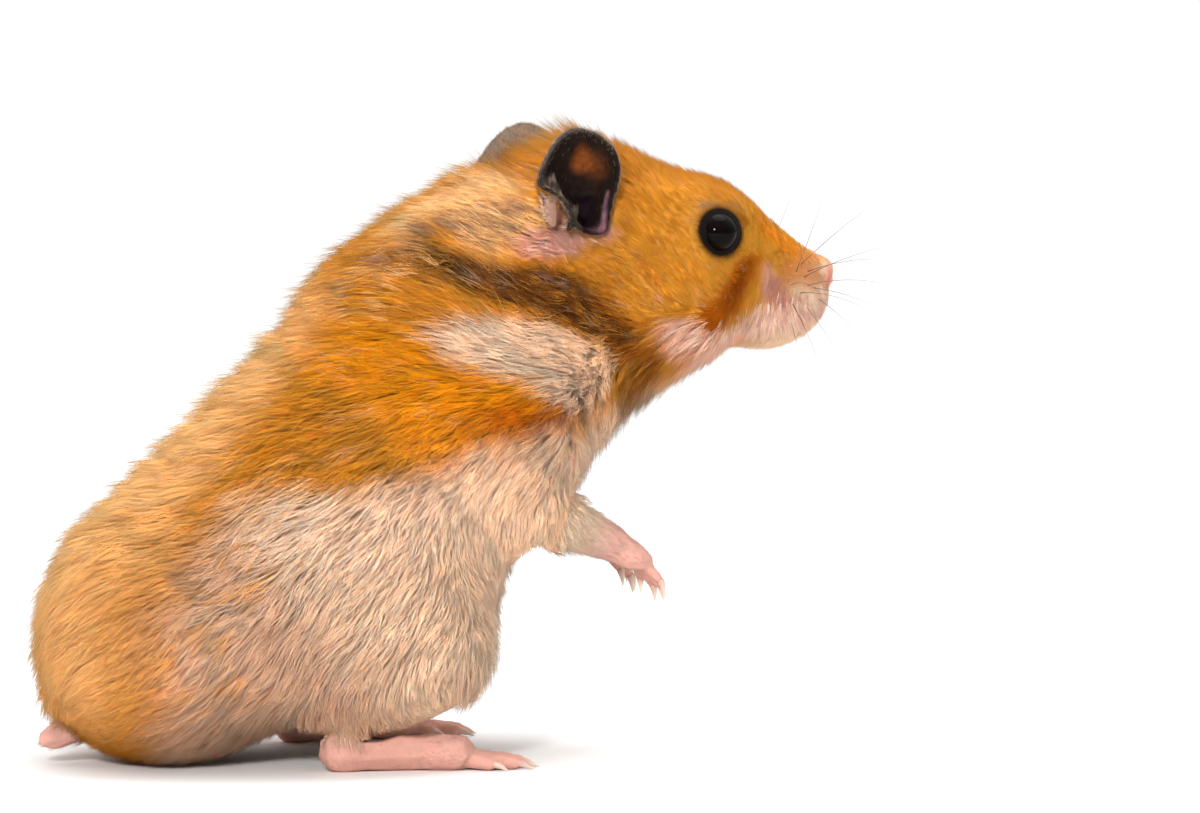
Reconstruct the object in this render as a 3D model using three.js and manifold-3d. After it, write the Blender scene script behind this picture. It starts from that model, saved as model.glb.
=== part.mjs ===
// A Syrian hamster sitting up on its haunches, life size, as a set of closed solids.
// Millimetres. +X is the way the body faces, +Y its left, +Z up, and the floor is z = 0.
//
// The flesh is one smooth field of blended ellipsoids and rods, out to the tips of the coat.
// It is drawn as a mesh at several finenesses and parted by thin cuts into head, neck, trunk and
// legs. The ears are thin bowls and the eyes are balls, set in the head.
import * as THREE from "three";
import { mergeVertices } from "three/addons/utils/BufferGeometryUtils.js";
import Module from "manifold-3d";

const wasm = await Module();
wasm.setup();

// ---- driving dimensions -------------------------------------------------------------------------

const CUT_GAP = 0.3; // left between solids that touch
const BACK_PITCH = 45; // slope of the straight back, in degrees
const HEAD_CENTRE = [35.4, 0, 70.9];
const HEAD_YAW = 8; // the head looks a little to its left, in degrees
const EYE_RADIUS = 3.1;
const EYE_AT = [3.2, 10.6, 3.4]; // in the head's frame, left side
const EAR_AT = [-17.3, 11.8, 5.5]; // the mouth of the ear's channel, in the head's frame, left side
const EAR_DEPTH = 3.2;
const EAR_WALL = 0.8;
const CLAW = { length: 2.4, radius: 0.5, set: 0.55, sides: 4 }; // set: its root's share of the toe tip
const TOE = { radii: [1.4, 1.05], rootHeight: 1.7, flat: 0.1, clawDip: 0.16, sides: 6 };
const FINGER = { radii: [1.05, 0.75], root: 1.4, droop: 0.5, clawDip: 0.5 };

const CELL = { body: 6, head: 3.1, muzzle: 2.1, hindFoot: 2.8, forepaw: 2.3, tail: 2.2 };
const ROUNDING = { trunk: 7, head: 4, muzzle: 2, limb: 4, foot: 1.8, hollow: 1.6 };

const COAT = { golden: 0xc8823a, cream: 0xe0c8a8, dark: 0x4a3a34, pink: 0xe0a898 };

// ---- fields: functions of a point, negative inside, in millimetres ------------------------------

const degrees = THREE.MathUtils.degToRad;

/** A frame at a place, turned left by yaw and then nose up by pitch, in degrees. */
function frameAt([x, y, z], pitch = 0, yaw = 0) {
  const turned = new THREE.Euler(0, degrees(-pitch), degrees(yaw), "ZYX");
  return new THREE.Matrix4().makeRotationFromEuler(turned).setPosition(x, y, z);
}

function ellipsoid({ at, radii, pitch = 0, yaw = 0 }) {
  const intoFrame = frameAt(at, pitch, yaw).invert();
  const radius = new THREE.Vector3(...radii);
  const local = new THREE.Vector3();
  return (point) => {
    local.copy(point).applyMatrix4(intoFrame).divide(radius);
    const reach = local.length();
    const slope = local.divide(radius).length();
    return slope > 0 ? (reach * (reach - 1)) / slope : -Math.min(...radii);
  };
}

/** A rod with round ends whose radius runs from one end's to the other's. */
function rod({ from, to, radii }) {
  const start = new THREE.Vector3(...from);
  const along = new THREE.Vector3(...to).sub(start);
  const lengthSquared = along.lengthSq();
  const offset = new THREE.Vector3();
  return (point) => {
    offset.copy(point).sub(start);
    const share = THREE.MathUtils.clamp(offset.dot(along) / lengthSquared, 0, 1);
    const radius = THREE.MathUtils.lerp(radii[0], radii[1], share);
    return offset.addScaledVector(along, -share).length() - radius;
  };
}

/** The union of fields, with each meeting rounded over about the given distance. */
function blend(rounding, fields) {
  return (point) =>
    fields.reduce((joined, field) => {
      const next = field(point);
      const overlap = Math.max(rounding - Math.abs(joined - next), 0) / rounding;
      return Math.min(joined, next) - (overlap * overlap * rounding) / 4;
    }, Infinity);
}

/** A field with another taken out of it, and the edge rounded over about the given distance. */
function hollowed(rounding, field, hollow) {
  const inverse = (inner) => (point) => -inner(point);
  return inverse(blend(rounding, [inverse(field), hollow]));
}

/** The field carried into a turned and shifted frame. */
function placed(field, frame) {
  const intoFrame = frame.clone().invert();
  const local = new THREE.Vector3();
  return (point) => field(local.copy(point).applyMatrix4(intoFrame));
}

const grown = (field, distance) => (point) => field(point) - distance;

// ---- the animal's shapes ------------------------------------------------------------------------

// The ears are carried a little differently: the left one is turned and tilted forwards.
const SIDES = [
  { side: "left", sign: 1, ear: { forward: 1.5, turn: -30, tilt: 8 } },
  { side: "right", sign: -1, ear: { forward: 0, turn: 0, tilt: 0 } },
];
const mirrored = ([x, y, z], sign) => [x, y * sign, z];
const onBothSides = (mass) =>
  SIDES.map(({ sign }) => ({ ...mass, at: mirrored(mass.at, sign), yaw: (mass.yaw ?? 0) * sign }));

// The masses of the trunk, from the rump up to the nape.
const TRUNK_MASSES = [
  { at: [-38, 0, 18.6], radii: [19.4, 23, 19.2] }, // rump
  { at: [-21.5, 0, 29.5], radii: [26, 26, 22.4] }, // haunches
  { at: [-7.5, 0, 42], radii: [24, 24.5, 23] }, // loin and belly
  { at: [5, 0, 54.6], radii: [22, 22, 22] }, // shoulders and chest
  { at: [15.5, 0, 64.6], radii: [18.5, 18.5, 18.4] }, // throat
  { at: [3, 0, 65], radii: [20, 16.5, 17], pitch: 36 }, // nape
  { at: [-6, 0, 20.5], radii: [15, 17, 16], pitch: 0 }, // lower belly
].map((mass) => ({ pitch: BACK_PITCH, ...mass }));

// The masses of the head, in its own frame: x towards the nose, y to its left, z up.
const HEAD_MASSES = [
  { at: [-11, 0, 1.8], radii: [14, 14, 15] }, // cranium
  { at: [-7, 0, -9], radii: [15, 14, 11] }, // throat
  ...onBothSides({ at: [-4.5, 8.2, -6.6], radii: [12.5, 8.6, 9.6], pitch: -12, yaw: -8 }), // cheeks
  { at: [2.4, 0, 2.2], radii: [9.6, 9, 9.6], pitch: -20 }, // forehead
  { at: [6.6, 0, -1.2], radii: [14, 10.4, 10.2], pitch: -34 }, // face
  ...onBothSides({ at: [2.6, 8.2, 6], radii: [6.6, 4, 4.2], pitch: -12 }), // brows
];
const MUZZLE_MASSES = [
  { at: [16.2, 0, -4.7], radii: [8.2, 6.4, 6.6], pitch: -24 }, // bridge of the nose
  { at: [19.6, 0, -2.9], radii: [4.6, 3.2, 2.9], pitch: -30 }, // top of the nose
  ...onBothSides({ at: [17.6, 3, -7.2], radii: [5.8, 4.1, 4.6], yaw: -8 }), // whisker pads
  { at: [14.8, 0, -10.6], radii: [6.6, 4.6, 3.4], pitch: 4 }, // chin
];
const NOSE = { at: [23.3, 0, -3.4], radii: [2.2, 2.5, 2.3] };
const NOSE_RIM = 0.5; // of the muzzle's skin, taken in with the nose's pad

// Hollows pressed into the head round the eyes and the feet of the ears.
const HEAD_HOLLOWS = [
  ...onBothSides({ at: [3.2, 13.4, 3.4], radii: [3.9, 2.6, 3.9] }),
  ...onBothSides({ at: [-17.2, 16.4, 5], radii: [5.2, 5.2, 6.4] }),
];

const headFrame = frameAt(HEAD_CENTRE, 0, HEAD_YAW);
const inWorld = (place) => new THREE.Vector3(...place).applyMatrix4(headFrame).toArray();
const muzzleField = blend(ROUNDING.muzzle, [...MUZZLE_MASSES, NOSE].map(ellipsoid));
const headField = placed(
  blend(ROUNDING.head, [...HEAD_MASSES.map(ellipsoid), muzzleField]),
  headFrame,
);

/** The joints of the legs on one side. */
function legJoints(sign) {
  const left = {
    hip: [-25, 14, 25],
    knee: [-2, 19, 17],
    ankle: [-15.5, 17.5, 6.4],
    heel: [-16.5, 17.2, 2.9],
    ball: [-1, 18.6, 2.4],
    shoulder: [10, 16, 51],
    elbow: [10.5, 17.5, 36.5],
    wrist: [24, 10.5, 30.5],
    palm: [27.4, 9.2, 28.4],
  };
  return Object.fromEntries(Object.entries(left).map(([joint, at]) => [joint, mirrored(at, sign)]));
}

function thighField(sign) {
  const { hip, knee, ankle } = legJoints(sign);
  const thigh = { at: mirrored([-14, 18, 20.5], sign), radii: [17, 9.4, 14], pitch: -8, yaw: 6 * sign };
  return blend(ROUNDING.limb, [
    ellipsoid(thigh),
    rod({ from: hip, to: knee, radii: [11, 8] }),
    rod({ from: knee, to: ankle, radii: [7, 4.4] }),
  ]);
}

function upperForelegField(sign) {
  const { shoulder, elbow } = legJoints(sign);
  return rod({ from: shoulder, to: elbow, radii: [8.6, 6] });
}

function hindFootField(sign) {
  const { ankle, heel, ball } = legJoints(sign);
  return blend(ROUNDING.foot, [
    rod({ from: ankle, to: heel, radii: [3.4, 2.9] }),
    rod({ from: heel, to: ball, radii: [2.9, 2.6] }),
    ellipsoid({ at: ball, radii: [3.4, 3.9, 2.3] }),
  ]);
}

function forepawField(sign) {
  const { elbow, wrist, palm } = legJoints(sign);
  return blend(ROUNDING.foot, [
    rod({ from: elbow, to: wrist, radii: [4.8, 2.7] }),
    ellipsoid({ at: palm, radii: [3.4, 3.1, 2.3], pitch: -30 }),
  ]);
}

const tailField = rod({ from: [-46, 0, 8], to: [-55.5, 0, 3.2], radii: [3.4, 1.7] });

const bodyMasses = blend(ROUNDING.trunk, [
  ...TRUNK_MASSES.map(ellipsoid),
  headField,
  ...SIDES.map(({ sign }) => thighField(sign)),
  ...SIDES.map(({ sign }) => upperForelegField(sign)),
]);
const hollowField = placed(blend(ROUNDING.hollow, HEAD_HOLLOWS.map(ellipsoid)), headFrame);
const bodyField = hollowed(ROUNDING.hollow, bodyMasses, hollowField);

// ---- drawing a field as a closed mesh -----------------------------------------------------------

const CORNERS = [0, 1].flatMap((k) => [0, 1].flatMap((j) => [0, 1].map((i) => [i, j, k])));
const CELL_EDGES = CORNERS.flatMap((first, a) =>
  CORNERS.flatMap((second, b) => {
    const steps = first.filter((value, axis) => value !== second[axis]).length;
    return b > a && steps === 1 ? [[a, b]] : [];
  }),
);
const SLOPE_STEP = 0.05;
const SETTLING_STEPS = 4;

/** The direction in which a field climbs at a point, as long as it climbs fast. */
function slopeOf(field, point) {
  const climb = (axis) => {
    const [ahead, behind] = [SLOPE_STEP, -SLOPE_STEP].map((step) =>
      field(point.clone().setComponent(axis, point.getComponent(axis) + step)),
    );
    return (ahead - behind) / (2 * SLOPE_STEP);
  };
  return new THREE.Vector3(climb(0), climb(1), climb(2));
}

/** Moves a vertex onto the surface where the field is zero. */
function settle(vertex, field) {
  for (let step = 0; step < SETTLING_STEPS; step++) {
    const slope = slopeOf(field, vertex);
    const off = field(vertex) / Math.max(slope.lengthSq(), 0.05);
    vertex.addScaledVector(slope, -THREE.MathUtils.clamp(off, -1, 1));
  }
}

const OPPOSITE_CORNERS = [0, 1, 2, 3].map((corner) => [corner, 7 - corner]);
const CELL_FACES = [0, 1, 2].flatMap((axis) =>
  [0, 1].map((side) => {
    const [u, v] = [0, 1, 2].filter((other) => other !== axis);
    const corner = (a, b) => CORNERS.findIndex((c) => c[axis] === side && c[u] === a && c[v] === b);
    return [corner(0, 0), corner(1, 1), corner(1, 0), corner(0, 1)];
  }),
);
const JUST_INSIDE = -1e-3;

/** Fills a corner wherever the inside would meet itself only at an edge or a point of the grid. */
function fillPinches(values, cellCorners) {
  let filled = true;
  const fillLeastOutside = (nodes) => {
    const outside = nodes.filter((node) => values[node] >= 0);
    const least = outside.reduce((a, b) => (values[a] < values[b] ? a : b));
    values[least] = JUST_INSIDE;
    filled = true;
  };
  while (filled) {
    filled = false;
    for (const nodes of cellCorners) {
      const inside = nodes.map((node) => values[node] < 0);
      const count = inside.filter(Boolean).length;
      const pinchedFace = CELL_FACES.find(
        ([a, b, c, d]) => inside[a] === inside[b] && inside[c] === inside[d] && inside[a] !== inside[c],
      );
      const pinchedAcross = OPPOSITE_CORNERS.some(
        ([a, b]) => inside[a] === inside[b] && count === (inside[a] ? 2 : 6),
      );
      if (pinchedFace) fillLeastOutside(pinchedFace.map((corner) => nodes[corner]));
      else if (pinchedAcross) fillLeastOutside(nodes);
    }
  }
}

/** The surface where a field is zero within a box, closed at the box's faces, as a solid. */
function drawn(field, bounds, cell) {
  const counts = bounds.getSize(new THREE.Vector3()).toArray().map((side) => Math.ceil(side / cell) + 3);
  const pointAt = (i, j, k) => new THREE.Vector3(i - 1, j - 1, k - 1).multiplyScalar(cell).add(bounds.min);
  const indexOf = (i, j, k) => i + counts[0] * (j + counts[1] * k);
  const valueAt = (point) => (bounds.containsPoint(point) ? field(point) : cell);
  const eachCell = (visit) => {
    for (let k = 0; k < counts[2] - 1; k++)
      for (let j = 0; j < counts[1] - 1; j++)
        for (let i = 0; i < counts[0] - 1; i++) visit(i, j, k);
  };
  const values = [];
  for (let k = 0; k < counts[2]; k++)
    for (let j = 0; j < counts[1]; j++)
      for (let i = 0; i < counts[0]; i++) values.push(valueAt(pointAt(i, j, k)));
  const crossedCells = [];
  eachCell((i, j, k) => {
    const nodes = CORNERS.map(([a, b, c]) => indexOf(i + a, j + b, k + c));
    if (nodes.some((node) => values[node] < 0)) crossedCells.push(nodes);
  });
  fillPinches(values, crossedCells);

  // One vertex in each cell that the surface crosses, at the middle of its crossings.
  const vertices = [];
  const vertexOfCell = new Map();
  eachCell((i, j, k) => {
    const corner = CORNERS.map(([a, b, c]) => values[indexOf(i + a, j + b, k + c)]);
    const crossed = CELL_EDGES.filter(([a, b]) => corner[a] < 0 !== corner[b] < 0);
    if (!crossed.length) return;
    const vertex = new THREE.Vector3();
    for (const [a, b] of crossed) {
      const share = corner[a] / (corner[a] - corner[b]);
      vertex.add(new THREE.Vector3(...CORNERS[a]).lerp(new THREE.Vector3(...CORNERS[b]), share));
    }
    vertex.multiplyScalar(cell / crossed.length).add(pointAt(i, j, k));
    if (bounds.containsPoint(vertex)) settle(vertex, field);
    vertexOfCell.set(indexOf(i, j, k), vertices.length);
    vertices.push(vertex);
  });

  // A quad for each grid edge that the surface crosses, split along its shorter diagonal.
  const triangles = [];
  const addQuad = (corners, facesAhead) => {
    const [a, b, c, d] = facesAhead ? corners : corners.toReversed();
    const shorterAC = vertices[a].distanceTo(vertices[c]) < vertices[b].distanceTo(vertices[d]);
    triangles.push(...(shorterAC ? [a, b, c, a, c, d] : [b, c, d, b, d, a]));
  };
  eachCell((i, j, k) => {
    const inside = values[indexOf(i, j, k)] < 0;
    const cellAt = (a, b, c) => vertexOfCell.get(indexOf(i - a, j - b, k - c));
    if (inside !== values[indexOf(i + 1, j, k)] < 0)
      addQuad([cellAt(0, 1, 1), cellAt(0, 0, 1), cellAt(0, 0, 0), cellAt(0, 1, 0)], inside);
    if (inside !== values[indexOf(i, j + 1, k)] < 0)
      addQuad([cellAt(1, 0, 1), cellAt(1, 0, 0), cellAt(0, 0, 0), cellAt(0, 0, 1)], inside);
    if (inside !== values[indexOf(i, j, k + 1)] < 0)
      addQuad([cellAt(1, 1, 0), cellAt(0, 1, 0), cellAt(0, 0, 0), cellAt(1, 0, 0)], inside);
  });
  return solidOf(geometryFrom(vertices.flatMap((vertex) => vertex.toArray()), triangles));
}

// ---- solids: joining and cutting ----------------------------------------------------------------

function geometryFrom(positions, triangles) {
  return new THREE.BufferGeometry()
    .setAttribute("position", new THREE.Float32BufferAttribute(positions, 3))
    .setIndex(triangles);
}

function solidOf(geometry) {
  const merged = mergeVertices(geometry.clone().deleteAttribute("normal").deleteAttribute("uv"), 1e-4);
  return new wasm.Manifold(
    new wasm.Mesh({
      numProp: 3,
      vertProperties: new Float32Array(merged.attributes.position.array),
      triVerts: new Uint32Array(merged.index.array),
    }),
  );
}

function geometryOf(solid) {
  const { vertProperties, triVerts, numProp } = solid.getMesh();
  const positions = Array.from(vertProperties).filter((_, index) => index % numProp < 3);
  const geometry = geometryFrom(positions, Array.from(triVerts));
  geometry.computeVertexNormals();
  return geometry;
}

const joined = (solids) => solids.reduce((whole, solid) => whole.add(solid));

/** The largest piece of a solid, so that a cut leaves no crumbs. */
const mainPiece = (solid) => solid.decompose().sort((a, b) => b.volume() - a.volume())[0];

const REACH = 300; // longer than the animal, for blocks that cut right across it

/** Everything past a plane, which lies square to a direction, set back by half a cut. */
function past({ at, along }) {
  const direction = new THREE.Vector3(...along).normalize();
  const middle = new THREE.Vector3(...at).addScaledVector(direction, (REACH + CUT_GAP) / 2);
  const turn = new THREE.Quaternion().setFromUnitVectors(new THREE.Vector3(0, 0, 1), direction);
  const block = new THREE.BoxGeometry(REACH, REACH, REACH).applyQuaternion(turn);
  return solidOf(block.translate(...middle.toArray()));
}
const before = ({ at, along }) => past({ at, along: along.map((value) => -value) });
const aboveFloor = solidOf(new THREE.BoxGeometry(REACH, REACH, REACH).translate(0, 0, REACH / 2));

// ---- where the animal is drawn and cut ----------------------------------------------------------

const box = (low, high) => new THREE.Box3(new THREE.Vector3(...low), new THREE.Vector3(...high));

/** A box given for the left side, or its mirror image. */
function sideBox(sign, [x, y, z], [farX, farY, farZ]) {
  return sign > 0 ? box([x, y, z], [farX, farY, farZ]) : box([x, -farY, z], [farX, -y, farZ]);
}

const BODY_BOX = box([-66, -36, -4], [66, 36, 96]);
const HEAD_BOX = box([-12, -30, 30], [66, 30, 96]);
const MUZZLE_BOX = box([38, -16, 50], [66, 20, 84]);
const TAIL_BOX = box([-62, -6, -3], [-40, 6, 14]);

const UP_THE_BACK = [Math.cos(degrees(BACK_PITCH)), 0, Math.sin(degrees(BACK_PITCH))];
const CUTS = {
  rump: { at: [-31, 0, 24], along: UP_THE_BACK },
  loin: { at: [-6, 0, 46], along: UP_THE_BACK },
  nape: { at: [9, 0, 59], along: [0.86, 0, 0.51] },
  neck: { at: [18.5, 0, 66.5], along: [0.91, 0.06, 0.41] },
  muzzle: { at: inWorld([12, 0, -4]), along: [0.86, 0.12, -0.5] },
};

// The outlines, seen from the side, of the blocks that part each leg from the trunk.
const LEG_OUTLINES = {
  thigh: { centre: [-12.5, 17.5], radii: [20.5, 17], inner: 12, pitch: -8 },
  upper_foreleg: { centre: [11.5, 42.5], radii: [9.5, 13.5], inner: 11, pitch: 0 },
};

/** An oval block across one side of the animal, from the inner face of the leg outwards. */
function legBlock({ centre, radii, inner, pitch }, sign, growth) {
  const [along, upright] = radii.map((radius) => radius + growth);
  const oval = new THREE.Shape().absellipse(0, 0, along, upright, 0, 2 * Math.PI, false, degrees(pitch));
  const block = new THREE.ExtrudeGeometry(oval, { depth: REACH, bevelEnabled: false, curveSegments: 7 });
  const outerFace = sign > 0 ? inner - growth + REACH : growth - inner;
  return solidOf(block.rotateX(Math.PI / 2).translate(centre[0], outerFace, centre[1]));
}

// ---- digits, ears and eyes ----------------------------------------------------------------------

const UP = new THREE.Vector3(0, 1, 0); // the axis of a turned shape

/** A solid of revolution between two points, from radii at shares of the way. */
function turned(profile, sides, from, direction) {
  const outline = profile.map(([radius, height]) => new THREE.Vector2(radius, height));
  const turn = new THREE.Quaternion().setFromUnitVectors(UP, direction.clone().normalize());
  const geometry = new THREE.LatheGeometry(outline, sides).applyQuaternion(turn);
  return solidOf(geometry.translate(...from.toArray()));
}

/** A toe that grows out of its foot, with a round tip and its claw. */
function digit({ from, to, claw, radii }) {
  const along = to.clone().sub(from);
  const [root, tip] = radii;
  const roundTip = [90, 45, 0].map((angle) => [
    tip * Math.sin(degrees(angle)),
    along.length() + tip * Math.cos(degrees(angle)),
  ]);
  const toe = turned([[0, 0], [root, 0], ...roundTip], TOE.sides, from, along);
  const clawRoot = to.clone().addScaledVector(claw, tip * CLAW.set);
  return toe.add(turned([[0, 0], [CLAW.radius, 0], [0, CLAW.length]], CLAW.sides, clawRoot, claw));
}

const HIND_TOES = [
  { spread: -30, reach: 5, root: 0.2 },
  { spread: -13, reach: 7.6, root: 1.2 },
  { spread: 0, reach: 8.2, root: 1.4 },
  { spread: 13, reach: 7.6, root: 1.2 },
  { spread: 28, reach: 5.4, root: 0.4 },
];
const FINGERS = [
  { spread: -34, reach: 3.4 },
  { spread: -11, reach: 4.6 },
  { spread: 11, reach: 4.6 },
  { spread: 34, reach: 3.6 },
];

/** The toes of a hind foot, fanned flat on the floor. */
function hindToes(sign) {
  const { radii, rootHeight, flat, clawDip } = TOE;
  const { heel, ball } = legJoints(sign);
  const forward = new THREE.Vector3(...ball).sub(new THREE.Vector3(...heel)).setZ(0).normalize();
  return HIND_TOES.map(({ spread, reach, root }) => {
    const direction = forward.clone().applyAxisAngle(new THREE.Vector3(0, 0, 1), degrees(spread) * sign);
    const from = new THREE.Vector3(...ball).addScaledVector(direction, root).setZ(rootHeight);
    const to = from.clone().addScaledVector(direction, reach).setZ(radii[1] - flat);
    return digit({ from, to, claw: direction.clone().setZ(-clawDip).normalize(), radii });
  });
}

/** The fingers of a forepaw, hanging forward and down from the palm. */
function fingers(sign) {
  const { radii, root, droop, clawDip } = FINGER;
  const { wrist, palm } = legJoints(sign);
  const forward = new THREE.Vector3(...palm).sub(new THREE.Vector3(...wrist)).normalize();
  const across = new THREE.Vector3(forward.y, -forward.x, 0).normalize();
  const throughPalm = forward.clone().cross(across).normalize();
  return FINGERS.map(({ spread, reach }) => {
    const direction = forward.clone().applyAxisAngle(throughPalm, degrees(spread));
    const from = new THREE.Vector3(...palm).addScaledVector(direction, root);
    const drooping = direction.clone().add(new THREE.Vector3(0, 0, -droop)).normalize();
    const to = from.clone().addScaledVector(drooping, reach);
    return digit({ from, to, claw: drooping.clone().setZ(drooping.z - clawDip).normalize(), radii });
  });
}

// The rim of the left ear round its channel: forward, outward and up from it.
const EAR_RIM = new THREE.CatmullRomCurve3(
  [
    [2.4, 1.2, -2.2], // tragus
    [3.6, 2, 1.4],
    [4.4, 2.4, 5.4], // front edge
    [3.4, 2.2, 9.6],
    [-0.8, 2, 12.6], // top
    [-6, 2.8, 10.4],
    [-9.6, 3.6, 5.6], // rear corner
    [-4.8, 3, 3.2], // notch above the antitragus
    [-2.4, 1.6, -1.2],
  ].map((place) => new THREE.Vector3(...place)),
  true,
);
const EAR_SPOKES = 20;
const EAR_RINGS = 4;

/** A point of the ear's bowl; ring 0 is the bottom of the channel and ring 1 the rim. */
function earPoint(spoke, ring) {
  const rim = EAR_RIM.getPoint(spoke);
  const bowl = EAR_DEPTH * (1 - ring * ring);
  return new THREE.Vector3(rim.x * ring, rim.y * ring * ring - bowl, rim.z * ring);
}

/** The ear as a thin bowl, in its own frame. */
function earGeometry() {
  const rings = Array.from({ length: EAR_RINGS }, (_, ring) => (ring + 1) / EAR_RINGS);
  const spokes = Array.from({ length: EAR_SPOKES }, (_, spoke) => spoke / EAR_SPOKES);
  const faceAt = (spoke, ring, side) => {
    const step = 1e-3;
    const round = earPoint((spoke + step) % 1, ring).sub(earPoint((spoke + 1 - step) % 1, ring));
    const outward = earPoint(spoke, ring + step).sub(earPoint(spoke, ring - step));
    const normal = round.cross(outward).normalize();
    return earPoint(spoke, ring).addScaledVector(normal, (side * EAR_WALL) / 2);
  };
  const points = [-1, 1].flatMap((side) => [
    new THREE.Vector3(0, -EAR_DEPTH + (side * EAR_WALL) / 2, 0),
    ...rings.flatMap((ring) => spokes.map((spoke) => faceAt(spoke, ring, side))),
  ]);
  const layer = points.length / 2;
  const at = (side, ring, spoke) => side * layer + 1 + ring * EAR_SPOKES + (spoke % EAR_SPOKES);
  const triangles = [];
  const addQuad = (a, b, c, d) => triangles.push(a, b, c, a, c, d);
  spokes.forEach((_, spoke) => {
    triangles.push(0, at(0, 0, spoke), at(0, 0, spoke + 1));
    triangles.push(layer, at(1, 0, spoke + 1), at(1, 0, spoke));
    for (let ring = 0; ring < EAR_RINGS - 1; ring++) {
      const next = ring + 1;
      addQuad(at(0, ring, spoke), at(0, next, spoke), at(0, next, spoke + 1), at(0, ring, spoke + 1));
      addQuad(at(1, ring, spoke), at(1, ring, spoke + 1), at(1, next, spoke + 1), at(1, next, spoke));
    }
    const last = EAR_RINGS - 1;
    addQuad(at(0, last, spoke), at(1, last, spoke), at(1, last, spoke + 1), at(0, last, spoke + 1));
  });
  return geometryFrom(points.flatMap((point) => point.toArray()), triangles);
}

/** The same shape with its faces the other way out, after a mirroring. */
function turnedInsideOut(geometry) {
  const triangles = Array.from(geometry.index.array);
  const swapped = triangles.map((_, index) => triangles[index - (index % 3) + [0, 2, 1][index % 3]]);
  return geometryFrom(geometry.attributes.position.array, swapped);
}

function earSolid({ sign, ear }) {
  const [x, y, z] = mirrored(EAR_AT, sign);
  const place = headFrame
    .clone()
    .multiply(new THREE.Matrix4().setPosition(x + ear.forward, y, z))
    .multiply(new THREE.Matrix4().makeScale(1, sign, 1))
    .multiply(new THREE.Matrix4().makeRotationY(degrees(ear.tilt)))
    .multiply(new THREE.Matrix4().makeRotationZ(degrees(ear.turn)));
  const bowl = earGeometry().applyMatrix4(place);
  return solidOf(sign > 0 ? bowl : turnedInsideOut(bowl));
}

const eyeBall = (sign, growth) =>
  solidOf(
    new THREE.SphereGeometry(EYE_RADIUS + growth, 12, 8)
      .rotateX(Math.PI / 2)
      .translate(...inWorld(mirrored(EYE_AT, sign))),
  );

/** The nose's pad as a plug in the muzzle. */
function nosePlug(growth) {
  const radii = NOSE.radii.map((radius) => radius + NOSE_RIM + growth);
  const plug = new THREE.SphereGeometry(1, 10, 7).scale(...radii).translate(...NOSE.at);
  return solidOf(plug.applyMatrix4(headFrame));
}

// ---- the pieces ---------------------------------------------------------------------------------

const pieces = new Map();

// The flesh with room round it, for what meets it. The room covers the coarseness of the meshes.
const ROOM = { body: 0.6, head: 0.45 };
const clearance = drawn(grown(bodyField, ROOM.body), BODY_BOX, CELL.body)
  .intersect(before(CUTS.nape))
  .add(drawn(grown(bodyField, ROOM.head), HEAD_BOX, CELL.head).intersect(past(CUTS.nape)));

/** A length of the trunk with the room of the legs taken out of it. */
function withoutLegs(solid) {
  return SIDES.reduce(
    (rest, { sign }) =>
      Object.values(LEG_OUTLINES).reduce(
        (left, outline) => left.subtract(legBlock(outline, sign, CUT_GAP)),
        rest,
      ),
    solid,
  );
}

function addTrunk() {
  const whole = drawn(bodyField, BODY_BOX, CELL.body).intersect(aboveFloor);
  const between = (low, high) => whole.intersect(past(low)).intersect(before(high));
  pieces.set("rump", mainPiece(withoutLegs(whole.intersect(before(CUTS.rump)))));
  pieces.set("trunk", mainPiece(withoutLegs(between(CUTS.rump, CUTS.loin))));
  pieces.set("chest", mainPiece(withoutLegs(between(CUTS.loin, CUTS.nape))));
  for (const { side, sign } of SIDES)
    for (const [leg, outline] of Object.entries(LEG_OUTLINES))
      pieces.set(`${leg}_${side}`, mainPiece(whole.intersect(legBlock(outline, sign, 0))));
  const tail = drawn(tailField, TAIL_BOX, CELL.tail).intersect(aboveFloor);
  pieces.set("tail", mainPiece(tail.subtract(clearance)));
}

function addFeet() {
  for (const { side, sign } of SIDES) {
    const footBox = sideBox(sign, [-26, 6, -2], [16, 32, 14]);
    const foot = drawn(hindFootField(sign), footBox, CELL.hindFoot).add(joined(hindToes(sign)));
    pieces.set(`hind_foot_${side}`, mainPiece(foot.intersect(aboveFloor).subtract(clearance)));
    const pawBox = sideBox(sign, [0, 0.5, 14], [40, 28, 48]);
    const paw = drawn(forepawField(sign), pawBox, CELL.forepaw).add(joined(fingers(sign)));
    pieces.set(`forepaw_${side}`, mainPiece(paw.subtract(clearance)));
  }
}

function addHead() {
  const withSockets = (solid) =>
    SIDES.reduce((rest, { sign }) => rest.subtract(eyeBall(sign, CUT_GAP)), solid);
  const fore = drawn(bodyField, HEAD_BOX, CELL.head);
  const neck = fore.intersect(past(CUTS.nape)).intersect(before(CUTS.neck));
  pieces.set("neck", mainPiece(withoutLegs(neck)));
  const head = fore.intersect(past(CUTS.neck)).intersect(before(CUTS.muzzle));
  pieces.set("head", mainPiece(withSockets(head)));
  const muzzle = drawn(bodyField, MUZZLE_BOX, CELL.muzzle).intersect(past(CUTS.muzzle));
  pieces.set("muzzle", mainPiece(muzzle.subtract(nosePlug(CUT_GAP))));
  pieces.set("nose", mainPiece(muzzle.intersect(nosePlug(0))));
  for (const { side, sign, ear } of SIDES) {
    pieces.set(`eye_${side}`, eyeBall(sign, 0));
    pieces.set(`ear_${side}`, mainPiece(earSolid({ sign, ear }).subtract(clearance)));
  }
}

addTrunk();
addFeet();
addHead();

// ---- the hamster: every piece as a mesh, with the origin at the middle of its footprint ---------

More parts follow.
